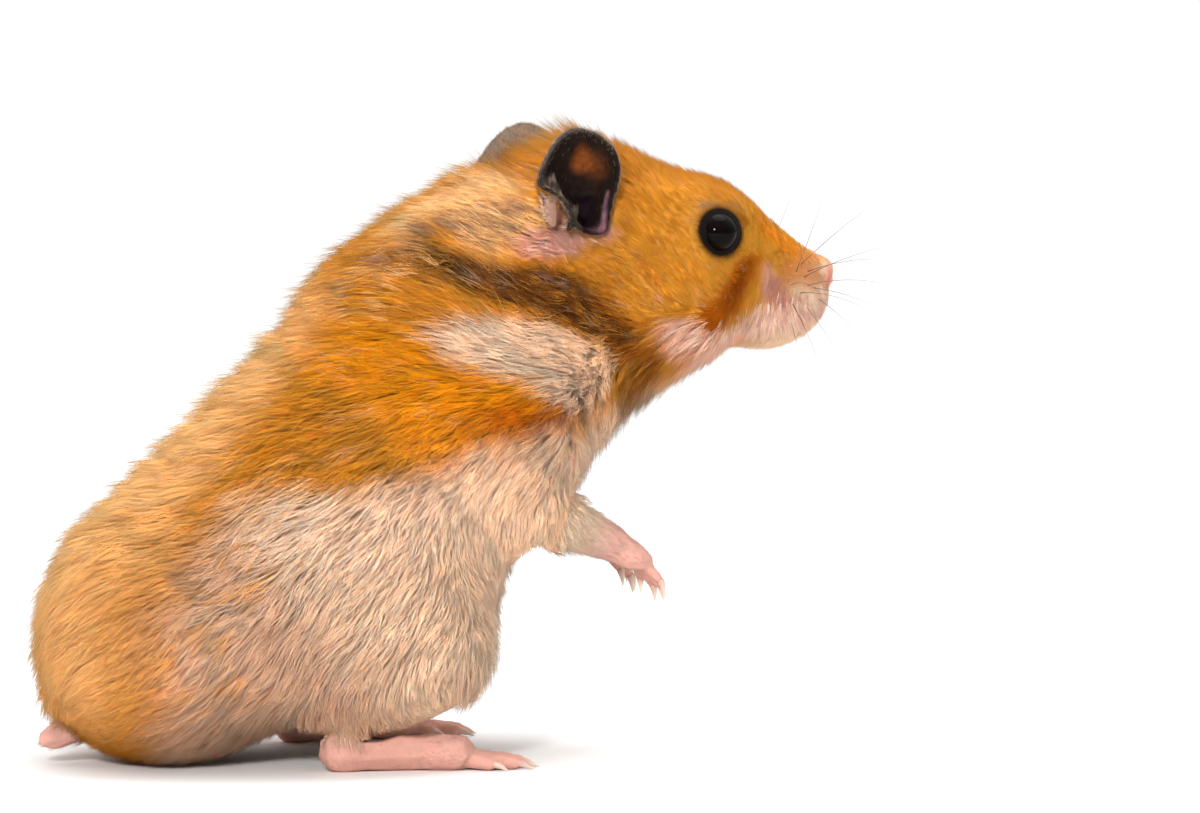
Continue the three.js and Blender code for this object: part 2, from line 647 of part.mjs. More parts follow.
const FINISHES = [
  { nodes: /^eye/, color: 0x080606, roughness: 0.05 },
  { nodes: /^ear/, color: COAT.dark, roughness: 0.7 },
  { nodes: /^(nose|tail|hind_foot|forepaw)/, color: COAT.pink, roughness: 0.6 },
  { nodes: /^(muzzle|thigh)/, color: COAT.cream, roughness: 0.9 },
  { nodes: /./, color: COAT.golden, roughness: 0.9 },
];

const hamster = new THREE.Group();
for (const [name, solid] of pieces) {
  const { color, roughness } = FINISHES.find(({ nodes }) => nodes.test(name));
  const material = new THREE.MeshStandardMaterial({ color, roughness, metalness: 0 });
  const mesh = new THREE.Mesh(geometryOf(solid), material);
  mesh.name = name;
  hamster.add(mesh);
}
const extent = new THREE.Box3().setFromObject(hamster);
const middle = extent.getCenter(new THREE.Vector3());
hamster.position.set(-middle.x, -middle.y, -extent.min.z);

export default hamster;
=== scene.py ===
"""A Syrian hamster sitting up: skin, coat, eyes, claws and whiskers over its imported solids.

Sizes and places are in millimetres until a mesh is written. The body's frame is the solids' own:
+X is the way the animal faces, +Y its left and +Z up. The head has a frame of its own, found from
the eyes. A place that both sides share is given for the left side.
"""
import math

import bpy
import numpy as np
from mathutils import Matrix, Vector
from mathutils.bvhtree import BVHTree
from mathutils.kdtree import KDTree


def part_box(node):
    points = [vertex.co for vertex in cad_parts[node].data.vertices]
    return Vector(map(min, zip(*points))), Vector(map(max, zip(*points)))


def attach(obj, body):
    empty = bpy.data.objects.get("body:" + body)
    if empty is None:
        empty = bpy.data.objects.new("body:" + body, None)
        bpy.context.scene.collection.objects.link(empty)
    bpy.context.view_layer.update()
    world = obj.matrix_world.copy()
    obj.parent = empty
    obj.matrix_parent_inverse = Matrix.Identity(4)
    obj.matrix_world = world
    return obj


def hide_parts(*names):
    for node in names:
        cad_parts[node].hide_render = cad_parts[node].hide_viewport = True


bl_info = {
    "name": "Syrian hamster",
    "version": (1, 0, 0),
    "blender": (4, 5, 0),
    "location": "3D View > Sidebar > Hamster",
    "description": "Makes the skin, coat, eyes, claws and whiskers of a sitting hamster",
    "category": "Object",
}

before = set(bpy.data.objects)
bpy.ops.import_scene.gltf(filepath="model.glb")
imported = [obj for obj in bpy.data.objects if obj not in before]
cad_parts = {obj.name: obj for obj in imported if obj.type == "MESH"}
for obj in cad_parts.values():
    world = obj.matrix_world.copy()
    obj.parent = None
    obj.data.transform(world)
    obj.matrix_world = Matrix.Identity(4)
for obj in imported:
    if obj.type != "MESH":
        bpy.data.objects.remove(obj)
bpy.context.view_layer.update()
MM = 0.001
BODY = "root"
SIDES = (("left", 1), ("right", -1))
NODE_NAMES = sorted(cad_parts)
FLESH_NODES = [name for name in NODE_NAMES if not name.startswith(("eye_", "ear_"))]


# ---- frames

# The middle of the left eye and the channel of the left ear, in the head's frame.
EYE_AT = (3.2, 10.6, 3.4)
EAR_AT = (-17.3, 11.8, 5.5)
EYE_RADIUS = 3.1
EYE_SET = (-0.55, 0, 0)  # from the solid's middle to the finished eye's
EYE_OUTLOOK = (-0.02, 1, 0.08)  # the way it faces
EAR_CARRIAGE = {"left": (0.2, 9, -30), "right": (0, 0, 0)}  # forward in mm, tilt and turn in degrees


def middle_of(node):
    low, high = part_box(node)
    return (low + high) / (2 * MM)


def find_head():
    """The head's frame, as a place and three rows: forward, to its left, and up."""
    left, right = middle_of("eye_left"), middle_of("eye_right")
    across = (left - right).normalized()
    forward = across.cross(Vector((0, 0, 1))).normalized()
    up = forward.cross(across)
    centre = (left + right) / 2 - forward * EYE_AT[0] - up * EYE_AT[2]
    return np.array(centre), np.array([forward, across, up])


HEAD_CENTRE, HEAD_AXES = find_head()
HEAD_OVER_JOINTS = (35.4, 0, 70.9)  # the head's middle in the frame that the joints are given in
BODY_SHIFT = HEAD_CENTRE - HEAD_OVER_JOINTS  # from the joints' frame to the body's


def to_head(places):
    return (places - HEAD_CENTRE) @ HEAD_AXES.T


def from_head(places):
    return np.asarray(places, float) @ HEAD_AXES + HEAD_CENTRE


def on_side(place, sign):
    return np.array(place, float) * (1, sign, 1)


def folded(places):
    """Places on either side, as places on the left side."""
    return places * (1, 0, 1) + np.abs(places) * (0, 1, 0)


def sides_of(place):
    """The sides that a place stands for: only one if it is in the middle."""
    return SIDES if place[1] else SIDES[:1]


def ear_frame(side, sign):
    """The place of an ear's channel, and rows that turn the ear's own frame into the body's."""
    forward, tilt, turn = EAR_CARRIAGE[side]
    rows = Matrix.Rotation(math.radians(tilt), 3, "Y") @ Matrix.Rotation(math.radians(turn), 3, "Z")
    axes = np.array(rows).T * (1, sign, 1)
    return from_head(on_side(EAR_AT, sign) + (forward, 0, 0)), axes @ HEAD_AXES


# ---- numbers

LATTICE = 16  # cells of noise along each side before it repeats


def unit(vectors):
    return vectors / np.maximum(np.linalg.norm(vectors, axis=-1, keepdims=True), 1e-9)


def eased(values, low=0.0, high=1.0):
    share = np.clip((values - low) / (high - low), 0, 1)
    return share * share * (3 - 2 * share)


def mixed(first, second, share):
    """Colours between two colours, or two arrays of them, at a share given for each row."""
    return np.asarray(first) * (1 - share[:, None]) + np.asarray(second) * share[:, None]


def raised(share, least):
    """A share from 0 to 1, as one from least to 1."""
    return least + (1 - least) * share


def cloud(places, size, seed):
    """Smooth noise from 0 to 1 with spots of about the given size."""
    lattice = np.random.default_rng(seed).random((LATTICE, LATTICE, LATTICE))
    scaled = places / size
    corner = np.floor(scaled).astype(int)
    share = eased(scaled - corner)
    total = np.zeros(len(places))
    for step in np.ndindex(2, 2, 2):
        index = (corner + step) % LATTICE
        weight = np.prod(np.where(np.array(step) == 1, share, 1 - share), axis=1)
        total += weight * lattice[index[:, 0], index[:, 1], index[:, 2]]
    return total


def drifted(places, size, reach, seed):
    """Places moved about by noise, so that a marking's edge wanders."""
    drift = np.stack([cloud(places, size, seed + axis) - 0.5 for axis in range(3)], axis=1)
    return places + drift * 2 * reach


# ---- meshes

def mesh_object(name, points, faces):
    """A mesh object from places in millimetres and an array of triangles or of quads."""
    corners = faces.shape[1]
    mesh = bpy.data.meshes.new(name)
    mesh.vertices.add(len(points))
    mesh.vertices.foreach_set("co", (points * MM).astype(np.float32).ravel())
    mesh.loops.add(faces.size)
    mesh.loops.foreach_set("vertex_index", faces.astype(np.int32).ravel())
    mesh.polygons.add(len(faces))
    mesh.polygons.foreach_set("loop_start", np.arange(0, faces.size, corners, dtype=np.int32))
    mesh.update(calc_edges=True)
    mesh.shade_smooth()
    thing = bpy.data.objects.new(name, mesh)
    bpy.context.scene.collection.objects.link(thing)
    return thing


def gathered(parts):
    """Several meshes as one, with its points and triangles."""
    starts = np.cumsum([0] + [len(points) for points, _ in parts])
    points = np.concatenate([points for points, _ in parts])
    return points, np.concatenate([triangles + start for (_, triangles), start in zip(parts, starts)])


def points_of(mesh):
    points = np.empty(len(mesh.vertices) * 3, np.float32)
    mesh.vertices.foreach_get("co", points)
    return points.reshape(-1, 3).astype(float) / MM


def triangles_of(mesh):
    mesh.calc_loop_triangles()
    triangles = np.empty(len(mesh.loop_triangles) * 3, np.int32)
    mesh.loop_triangles.foreach_get("vertices", triangles)
    return triangles.reshape(-1, 3)


def welded(points, triangles):
    """The mesh with vertices that lie together made one."""
    _, kept, places = np.unique(np.round(points, 3), axis=0, return_index=True, return_inverse=True)
    triangles = places.reshape(-1)[triangles]
    sound = (triangles != np.roll(triangles, 1, axis=1)).all(axis=1)
    return points[kept], triangles[sound]


def summed(size, index, values):
    return np.stack([np.bincount(index, values[:, axis], size) for axis in range(3)], axis=1)


def triangle_corners(points, triangles):
    """The first, the second and the third corner of every triangle."""
    return (points[triangles[:, corner]] for corner in range(3))


def normals_of(points, triangles):
    a, b, c = triangle_corners(points, triangles)
    faces = np.cross(b - a, c - a)
    return unit(sum(summed(len(points), triangles[:, corner], faces) for corner in range(3)))


def smoothed(points, triangles, rounds, amount=1.0):
    """The points after rounds of moving each towards the middle of its neighbours."""
    starts = triangles.ravel()
    ends = np.roll(triangles, -1, axis=1).ravel()
    count = np.maximum(np.bincount(starts, minlength=len(points)), 1)[:, None]
    for _ in range(rounds):
        middle = summed(len(points), starts, points[ends]) / count
        points = points + (middle - points) * 0.5 * np.reshape(amount, (-1, 1))
    return points


def with_modifiers(thing, add):
    """The mesh of a scratch object after the modifiers that a function adds, without the object."""
    add(thing)
    graph = bpy.context.evaluated_depsgraph_get()
    mesh = bpy.data.meshes.new_from_object(thing.evaluated_get(graph))
    points, triangles = points_of(mesh), triangles_of(mesh)
    bpy.data.meshes.remove(mesh)
    bpy.data.meshes.remove(thing.data)
    return points, triangles


def fused(parts, voxel):
    """Closed meshes that overlap, as one mesh with even faces."""
    def add(thing):
        remesh = thing.modifiers.new("fuse", "REMESH")
        remesh.mode = "VOXEL"
        remesh.voxel_size = voxel * MM

    return with_modifiers(mesh_object("scratch", *gathered(parts)), add)


THIN_LEVELS = 10  # steps of weight from what is kept to what may go
THIN_FORCE = 10


def thinned(points, triangles, share, keep):
    """The mesh with fewer faces, taken from where keep is low."""
    def add(thing):
        group = thing.vertex_groups.new(name="thin")
        levels = np.round((1 - keep) * THIN_LEVELS).astype(int)
        for level in range(1, THIN_LEVELS + 1):
            group.add(np.flatnonzero(levels == level).tolist(), level / THIN_LEVELS, "REPLACE")
        decimate = thing.modifiers.new("thin", "DECIMATE")
        decimate.ratio = share
        decimate.vertex_group = group.name
        decimate.vertex_group_factor = THIN_FORCE

    return with_modifiers(mesh_object("scratch", points, triangles), add)


def add_attribute(mesh, name, kind, values):
    attribute = mesh.attributes.new(name, kind, "POINT")
    if kind == "FLOAT_COLOR":
        values = np.concatenate([values, np.ones((len(values), 1))], axis=1)
        attribute.data.foreach_set("color", values.astype(np.float32).ravel())
    else:
        attribute.data.foreach_set("value", values.astype(np.float32))


# ---- the solids

def node_mesh(name):
    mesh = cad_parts[name].data
    return welded(points_of(mesh), triangles_of(mesh))


class Solids:
    """All the solids' faces, to ask which node is nearest to a place."""

    def __init__(self):
        meshes = [node_mesh(name) for name in NODE_NAMES]
        points, faces = gathered(meshes)
        self.owners = np.repeat(np.arange(len(meshes)), [len(faces) for _, faces in meshes])
        self.tree = BVHTree.FromPolygons(points.tolist(), faces.tolist())

    def nearest(self, places):
        """The index of the nearest node to each place."""
        return self.owners[[self.tree.find_nearest(place)[2] for place in places.tolist()]]


SOLIDS = Solids()


def belongs(owners, *prefixes):
    """Whether owners are among the nodes whose names start with any of the prefixes."""
    chosen = [index for index, name in enumerate(NODE_NAMES) if name.startswith(prefixes)]
    return np.isin(owners, chosen)


# ---- the lie of the coat

# Each row: a place on the left side, the way the hair points there, its length, and the depth of
# the coat over the skin.
HEAD_GUIDES = (
    ((25, 0, -3), (-1, 0, 0.3), 0.7, 0.1),  # nose
    ((20, 0, -0.6), (-1, 0, 0.45), 1.5, 0.3),
    ((14, 0, 3.5), (-1, 0, 0.6), 2.2, 0.5),  # bridge
    ((7, 0, 9), (-1, 0, 0.7), 2.9, 0.8),  # forehead
    ((0, 0, 13), (-1, 0, 0.45), 3.3, 1.1),
    ((-8, 0, 15.5), (-1, 0, 0.1), 4, 1.6),  # crown
    ((-15, 0, 15), (-1, 0, 0), 5, 2.2),
    ((18, 5, -3.5), (-0.9, 0.2, 0.1), 1.2, 0.25),  # whisker pad
    ((20.5, 4.5, -7), (0.75, 0.2, -0.6), 2, 0.4),
    ((18, 5, -9), (0.5, 0.2, -0.9), 2.8, 0.65),
    ((13, 8.5, -6.5), (0.3, 0.3, -0.8), 2.6, 0.6),
    ((12, 8, -3), (-0.6, 0.3, -0.5), 1.5, 0.3),
    ((10, 7, -11), (-0.25, 0.1, -0.9), 2.8, 0.7),
    ((15, 0, -12.5), (-0.3, 0, -0.9), 2.4, 0.6),  # chin
    ((8, 0, -16), (-0.7, 0, -0.7), 4.5, 1.8),
    ((5, 12, -7), (-0.75, 0.2, -0.45), 2.8, 0.8),  # cheek
    ((4, 12.5, -2), (-0.85, 0.1, 0.25), 2, 0.5),
    ((9.5, 8.5, 2.5), (-0.8, 0.2, 0.5), 1.5, 0.35),  # before the eye
    ((3, 9, 8.5), (-0.95, 0.1, 0.5), 2.1, 0.55),  # over the eye
    ((-2.5, 12.5, 4), (-0.9, 0.1, 0.45), 2.1, 0.55),  # behind the eye
    ((-2, 14.5, -3), (-0.75, 0.1, 0.55), 3.1, 0.9),
    ((-9, 16, -4), (-0.8, 0.1, 0.5), 4, 1.4),
    ((-5, 14.5, -12), (-0.85, 0.1, -0.35), 4.6, 1.8),
    ((-7, 12, 8), (-0.85, 0.1, 0.55), 3, 0.9),  # temple
    ((-12.5, 12.5, 5), (-0.6, 0.1, 0.75), 2.4, 0.6),  # before the ear
    ((-9, 8, 13.5), (-0.95, 0.2, 0.35), 3.6, 1.3),
    ((-25, 8, 11), (-1, 0.1, 0.2), 6, 2.8),  # behind the ear
    ((-27, 13, 4), (-1, 0, 0.25), 5, 2.2),
    ((-18, 15, 2.6), (-1, 0, 0.1), 1.2, 0.4),  # bare fold under the ear
    ((-24, 15, 3), (-1, 0, 0.1), 1.6, 0.5),
    ((-21, 16.5, -1), (-1, 0, 0.2), 4, 1.4),
    ((-18, 17, -7), (-0.95, 0, 0.4), 5.2, 2.2),
)
BODY_GUIDES = (
    ((8, 0, 82.5), (-1, 0, 0.3), 6, 3.6),  # nape
    ((-3, 0, 79), (-1, 0, 0.2), 6.2, 4),
    ((0, 13, 76), (-1, 0, 0.25), 7, 3.2),
    ((-11, 0, 73.5), (-1, 0, 0), 6.4, 4),
    ((5, 19, 68), (-0.95, 0, 0.4), 7, 2.8),  # neck
    ((5, 22, 60), (-0.93, 0, 0.3), 7, 2.8),
    ((18, 18, 56), (-0.95, 0, 0), 6, 2.6),
    ((-27, 0, 56), (-0.9, 0, -0.35), 6.6, 3.6),  # back
    ((-43, 0, 40), (-0.95, 0, -0.4), 6.6, 3.6),
    ((-55, 0, 24), (-0.9, 0, -0.5), 7, 3.4),  # rump
    ((-55, 0, 12), (-0.6, 0, -0.8), 6, 3),
    ((-45, 0, 2), (-0.5, 0.3, -0.4), 4, 1.2),
    ((-20, 18, 56), (-0.95, 0, -0.35), 8, 3.2),  # flank
    ((-10, 24, 48), (-0.9, 0.05, -0.5), 8, 3),
    ((-20, 25, 40), (-0.8, 0, -0.7), 8, 3),
    ((-42, 18, 34), (-0.95, 0, -0.4), 8, 3.2),
    ((-45, 20, 20), (-0.9, 0.1, -0.5), 8, 3),
    ((-30, 22, 8), (-0.8, 0.2, -0.6), 7, 2.6),
    ((-14, 26.5, 22), (-0.7, 0.1, -0.75), 7, 2.6),  # thigh
    ((3, 24, 16), (-0.5, 0.1, -0.85), 5, 2),
    ((14, 22, 48), (-0.9, 0, -0.35), 7, 2.8),  # foreleg
    ((10, 22, 42), (-0.6, 0.1, -0.75), 5, 1.8),
    ((11, 20, 36), (0, 0.1, -1), 4, 1.2),
    ((14, 16, 34.5), (0.8, -0.3, -0.55), 3.4, 0.9),
    ((19, 13.5, 32), (0.85, -0.3, -0.4), 2.4, 0.5),
    ((23, 11.5, 30.5), (0.9, -0.2, -0.4), 1.4, 0.25),
    ((26, 9.5, 28), (0.9, 0, -0.4), 1, 0.15),  # forepaw
    ((32, 9, 52), (-0.7, 0, -0.7), 6, 2.4),  # throat
    ((30, 0, 52), (-0.2, 0, -1), 7.5, 3),  # chest
    ((24, 0, 40), (-0.3, 0, -1), 8, 3),
    ((12, 0, 26), (-0.3, 0, -1), 8, 3),  # belly
    ((4, 0, 10), (-0.4, 0, -0.9), 6, 2.2),
    ((-14, 20, 7), (0.2, 0, -1), 3, 0.8),  # ankle
    ((-17, 17.5, 3), (0.3, 0.1, -0.8), 1.6, 0.3),
    ((-6, 19, 5), (1, 0, -0.1), 1.3, 0.2),  # hind foot
    ((3, 19, 2.5), (1, 0, -0.2), 0.8, 0.1),
    ((-53, 0, 6), (-0.9, 0, -0.4), 1.5, 0.4),  # tail
)
# The most that the length and the depth may be on the parts with the shortest hair.
SHORT_HAIR = {"hind_foot": (1.3, 0.2), "forepaw": (1.6, 0.25), "nose": (0.6, 0.05), "tail": (1.6, 0.4)}
GUIDE_REACH = 2.5  # the distance within which a guide's hold on the coat levels off
# Where tufts stand up past the rest of the coat, or lie lower: place, radius and height.
CRESTS = (((17.8, -2.2, 85.9), 9, 3.6), ((-7, 0, 80), 16, -2.8), ((-58, 0, 26), 17, -1.4))
CREST_TOP = 0.3  # share of a crest's radius that has its full height
EYE_SKIRT = (0.6, 2.4)  # how far off the eye the coat begins to rise, and has risen
SKIRT_DEPTH = 0.1  # the share of its depth that the coat has before it rises
ELBOW, WRIST = (10.5, 17.5, 36.5), (24, 10.5, 30.5)  # in the joints' frame
ARM_REACH = 6  # how far the forearm goes from the line between them
PAW_START = 0.8  # how far down the forearm the short hair begins


def crest_at(places):
    """How much higher the coat stands at places than its depth."""
    rise = np.zeros(len(places))
    for centre, radius, height in CRESTS:
        gap = np.linalg.norm(places - centre, axis=1)
        rise += height * eased(gap, radius, radius * CREST_TOP)
    return rise


def arm_share(places):
    """How far down a forearm places are: 0 at the elbow, 1 at the wrist, and 2 away from both arms."""
    elbow, wrist = (np.array(joint, float) + BODY_SHIFT for joint in (ELBOW, WRIST))
    run = wrist - elbow
    share = (folded(places) - elbow) @ run / (run @ run)
    gap = np.linalg.norm(folded(places) - elbow - np.clip(share, 0, 1)[:, None] * run, axis=1)
    return np.where(gap < ARM_REACH, share, 2)


def both_sides(rows):
    """Rows of guides, with one for the other side after each that is not in the middle."""
    for place, lie, length, depth in rows:
        for _, sign in sides_of(place):
            yield on_side(place, sign), on_side(lie, sign), length, depth


def all_guides():
    """The places of all guides in the body's frame, and their lies, lengths and depths."""
    rows = list(both_sides(BODY_GUIDES))
    for place, lie, length, depth in both_sides(HEAD_GUIDES):
        rows.append((from_head(place), lie @ HEAD_AXES, length, depth))
    places, lies, lengths, depths = (np.array(column, float) for column in zip(*rows))
    return places, unit(lies), lengths, depths


GUIDES = all_guides()


def coat_at(places, owners):
    """The lie of the hair, its length and the coat's depth at places on the skin."""
    guide_places, lies, lengths, depths = GUIDES
    weights = np.zeros((len(places), len(guide_places)))
    for column, guide_place in enumerate(guide_places):
        gaps = ((places - guide_place) ** 2).sum(axis=1)
        weights[:, column] = 1 / (gaps + GUIDE_REACH**2) ** 2
    weights /= weights.sum(axis=1, keepdims=True)
    lie, length, depth = unit(weights @ lies), weights @ lengths, weights @ depths
    skirt_start, skirt_end = (EYE_RADIUS + gap for gap in EYE_SKIRT)
    depth = depth * raised(eased(from_eye(places), skirt_start, skirt_end), SKIRT_DEPTH)
    for prefix, (most_length, most_depth) in SHORT_HAIR.items():
        short = belongs(owners, prefix) & (arm_share(places) > PAW_START)
        length[short] = np.minimum(length[short], most_length)
        depth[short] = np.minimum(depth[short], most_depth)
    return lie, length, depth


# ---- markings

# Coat and skin colours, in linear light.
GOLDEN = (0.53, 0.228, 0.022)
BODY_GOLD = (0.49, 0.188, 0.013)
SUNNY = (0.5, 0.182, 0.004)
# pale tan of the back and rump, partly painted light from above
TAN = (0.76, 0.41, 0.15)
BRIGHT = (0.58, 0.206, 0.001)
RUSSET = (0.34, 0.075, 0.001)
CHESTNUT = (0.17, 0.036, 0.001)
PALE_GOLD = (0.69, 0.43, 0.19)
CREAM = (0.7, 0.5, 0.34)
GREIGE = (0.55, 0.345, 0.225)
SAND = (0.74, 0.53, 0.37)
PINK_WHITE = (0.62, 0.375, 0.3)
LILAC = (0.49, 0.245, 0.195)
PAD_PINK = (0.42, 0.17, 0.135)
# painted shade in the creases of the whisker pad
CREASE_SHADE = (0.4, 0.19, 0.16)
LIP = (0.58, 0.2, 0.06)
PINK = (0.6, 0.21, 0.16)
BROWN = (0.066, 0.024, 0.004)
UMBER = (0.2, 0.05, 0.003)
OCHRE = (0.4, 0.152, 0.006)
DULL_GOLD = (0.36, 0.15, 0.012)
BROW_GOLD = (0.42, 0.17, 0.02)
ORANGE = (0.7, 0.215, 0.008)
APRICOT = (0.62, 0.2, 0.03)
ROSE = (0.56, 0.28, 0.2)
SLATE = (0.17, 0.11, 0.08)
BLACK = (0.003, 0.002, 0.002)
LASH = (0.09, 0.03, 0.006)

# The line between the golden back and the pale belly, seen from the side: how far up the slope of
# the back, and how high above the slope through the origin.
BELLY_LINE = (
    (-42, 13), (-28, 35), (-22.6, 42.5), (-15.6, 49), (-9.5, 49.5), (-3, 50.2), (2, 51), (8, 47), (13, 41),
    (21, 35), (31, 31), (41, 24.5), (50, 18), (60, 14), (72, 12),
)
# Each fade runs from the first place to the second: up the slope, and forward in the head's frame.
GREIGE_FADE, SOFTER_FADE, HEAD_FADE = (3, -7), (-2, -18), (-14, -26)
EDGE_WIDTH, EDGE_GROWTH = 3, 4.5  # half the width of the belly line's edge, and what it gains behind
# The noise that makes edges wander: the size of its spots, how far it moves them and its seed.
BODY_DRIFT, HEAD_DRIFT = (5, 1.6, 11), (3, 0.7, 31)

# Each mark: its colour, strength and soft edge, and the round places that it runs through.
BACK_MARKS = (
    # back and rump: pale tan, partly the coat's colour and partly painted light from above on the top of the
    # back
    (TAN, 0.85, 11, ((-20, 3, 62, 6), (-33, 4, 52, 8), (-46, 5, 38, 12), (-53, 6, 28, 13), (-54, 8, 16, 11))),
    # nape
    (PALE_GOLD, 0.9, 6, ((-8, 6, 77, 3), (3, 8, 81, 4.5), (2, 14, 76, 4), (9, 14, 76, 3))),
    # shoulder
    (BRIGHT, 0.95, 7, ((-16, 18, 57, 6), (-6, 22, 53, 6), (4, 24, 50, 4))),
    (RUSSET, 0.95, 3.5, ((-3, 24, 48.5, 1), (4, 24.4, 48, 2.4), (12, 23.6, 46.5, 2.8))),
)
SIDE_MARKS = (
    (GREIGE, 0.7, 4, ((-14, 25, 38, 2.5), (-4, 24, 42, 2.5), (5, 24, 43, 2))),  # under the shoulder
    # cream crescent
    (CREAM, 0.97, 2.6, ((-7, 20.5, 61, 1.6), (-1, 21.6, 60.8, 3.8), (7.6, 22.6, 58, 5.6),
                        (14, 21, 54.6, 5.8), (18, 19.4, 53, 4.4))),
    (GREIGE, 0.5, 3, ((14, 21, 49.5, 1), (19, 18, 50, 2))),
    (SAND, 0.8, 6, ((-30, 24.5, 34, 3.5), (-20, 26.5, 32, 5), (-8, 25, 34, 5))),  # flank
    # dark flash on the side of the neck
    (BROWN, 0.7, 3.2, ((-16, 7, 72.4, 1.2), (-9, 12, 72.8, 1.8), (-4, 16, 70.8, 2))),
    (BROWN, 0.98, 2.2, ((-5, 15.8, 70.8, 1.8), (6.9, 19.6, 67.9, 3), (13, 19.4, 65.5, 3.3),
                        (18.2, 19.1, 62.9, 3.5), (21.4, 18.2, 60, 2.6))),
    (BROWN, 0.62, 3.4, ((22, 18, 58, 1.6), (24.5, 14, 53.5, 2.6), (26, 9, 50.5, 3))),
    (BROWN, 0.35, 3, ((14, 19, 68, 1.5), (20.1, 18.7, 66.8, 2))),
    (UMBER, 0.75, 3.5, ((21.5, 17.5, 57, 1.4), (26, 15.5, 55.5, 2), (28, 12.5, 53, 2))),  # throat
    (BROWN, 0.5, 5, ((32, 0, 50, 3), (27, 8, 48, 3))),  # chest band
)
HEAD_MARKS = (
    (OCHRE, 0.8, 6, ((0, 3, 12, 5), (6, 2, 9.5, 4))),  # forehead
    (SUNNY, 0.8, 5, ((10, 2, 7, 3), (14, 0, 4, 3))),  # bridge
    (DULL_GOLD, 0.7, 6, ((-5, 4, 14, 3.5), (-13, 5, 14, 5))),  # crown
    (BROW_GOLD, 0.7, 3.5, ((-1, 11.4, 8.4, 1.6), (4, 10, 9.4, 2))),  # brow
    (ORANGE, 0.8, 3, ((10.5, 7.4, 3.6, 1.8), (14, 6, 2.2, 2.2), (17, 5, 0, 1.6))),  # side of the bridge
    # chin
    (PINK_WHITE, 0.95, 2.6, ((21, 4, -8.8, 2.2), (15, 6.5, -9.2, 2.6), (10, 7, -11.4, 2.8),
                             (5, 10, -14.2, 2.8), (0, 10, -17, 3))),
    (PINK_WHITE, 0.9, 2.6, ((-6.6, 16, -11, 2.4), (-3, 15.4, -13, 3.2), (2, 13, -13.4, 2.4))),  # pouch
    # dark band under the eye
    (RUSSET, 0.95, 3.2, ((9.6, 10.4, -1.2, 1.5), (6.6, 11.8, -3.6, 2.3), (4, 13.4, -6.2, 2.9),
                         (0.2, 15.4, -8.6, 3.3))),
    (CHESTNUT, 0.8, 2.6, ((8.4, 10.6, -1.6, 0.8), (5.8, 12, -4, 1.5), (4.2, 13, -5.4, 1))),
    # lip and whisker pad
    (LIP, 0.75, 3, ((15, 7.5, -2.4, 2), (19, 5.5, -3, 2), (21.5, 4, -4, 1.5))),
    (ROSE, 0.85, 1.8, ((11.2, 9.6, -2.2, 0.9), (11.6, 9, -5.2, 1.4))),
    (PAD_PINK, 0.85, 2, ((12.4, 9.2, -4.2, 0.9), (13, 8.8, -6.4, 1.2), (15, 8, -7.2, 1.1),
                         (17.4, 7, -7, 0.7))),
    (PINK_WHITE, 0.8, 2, ((18.4, 6.4, -6.8, 1), (21, 4, -7, 1.6), (23, 2, -6.6, 1.2))),
    # painted shade in the creases of the whisker pad
    (CREASE_SHADE, 0.6, 1, ((13, 8.7, -6.4, 0.4), (16.5, 7.3, -7.8, 0.35), (19.8, 6, -9, 0.2))),
    (CREASE_SHADE, 0.6, 1, ((13, 8.7, -7, 0.4), (15.5, 7.8, -9.4, 0.4), (17, 6.2, -11.4, 0.25))),
    (CREASE_SHADE, 0.5, 1, ((12.4, 8.6, -7.4, 0.4), (12.8, 8.2, -10, 0.4), (13.4, 7.2, -12.4, 0.3))),
    (CREASE_SHADE, 0.5, 1, ((15, 7.6, -5, 0.3), (19, 6, -5.4, 0.3), (22.6, 3.6, -5.6, 0.25))),
    (APRICOT, 0.85, 2.5, ((17, 3, -0.6, 1.8), (21, 2, -1.6, 2), (23.6, 1, -2, 1.4))),  # top of the nose
    (PINK, 0.95, 1.4, ((24, 2.6, -2.9, 1.1), (23.6, 3.2, -4.2, 1), (24.2, 1.6, -5.2, 1.1))),  # nose
    # round the eye: behind it, before it and over it
    ((0.42, 0.18, 0.05), 0.6, 2, ((-2, 12.3, 5.6, 1), (0.5, 11.6, 8.2, 0.8))),
    ((0.2, 0.05, 0.002), 0.8, 1.8, ((5.2, 11, 8.2, 0.4), (6.9, 10.7, 5, 0.7))),
    (SLATE, 0.6, 1.2, ((-0.5, 12, 7.2, 0.4), (3, 11.2, 7.9, 0.5), (7, 10, 7.6, 0.5))),
    # before the ear: dark brown hair with painted shade in front of the ear's rim, where it meets the head
    ((0.24, 0.08, 0.005), 0.75, 2.4, ((-9.8, 8.2, 13.8, 1), (-11, 11.4, 10.6, 0.7), (-12.2, 13, 7.5, 0.8),
                                      (-13.4, 13.2, 4.2, 1))),
    # bare fold under the ear
    (LILAC, 0.97, 2, ((-15.4, 12.4, 3.8, 1), (-20, 13.4, 3, 1.9), (-24, 14, 3.2, 2.4),
                      (-27.6, 13.6, 3, 1.8))),
    (LILAC, 0.9, 2, ((-21.5, 12.4, 5.4, 1.8), (-22.6, 12, 7.6, 1.6))),
)
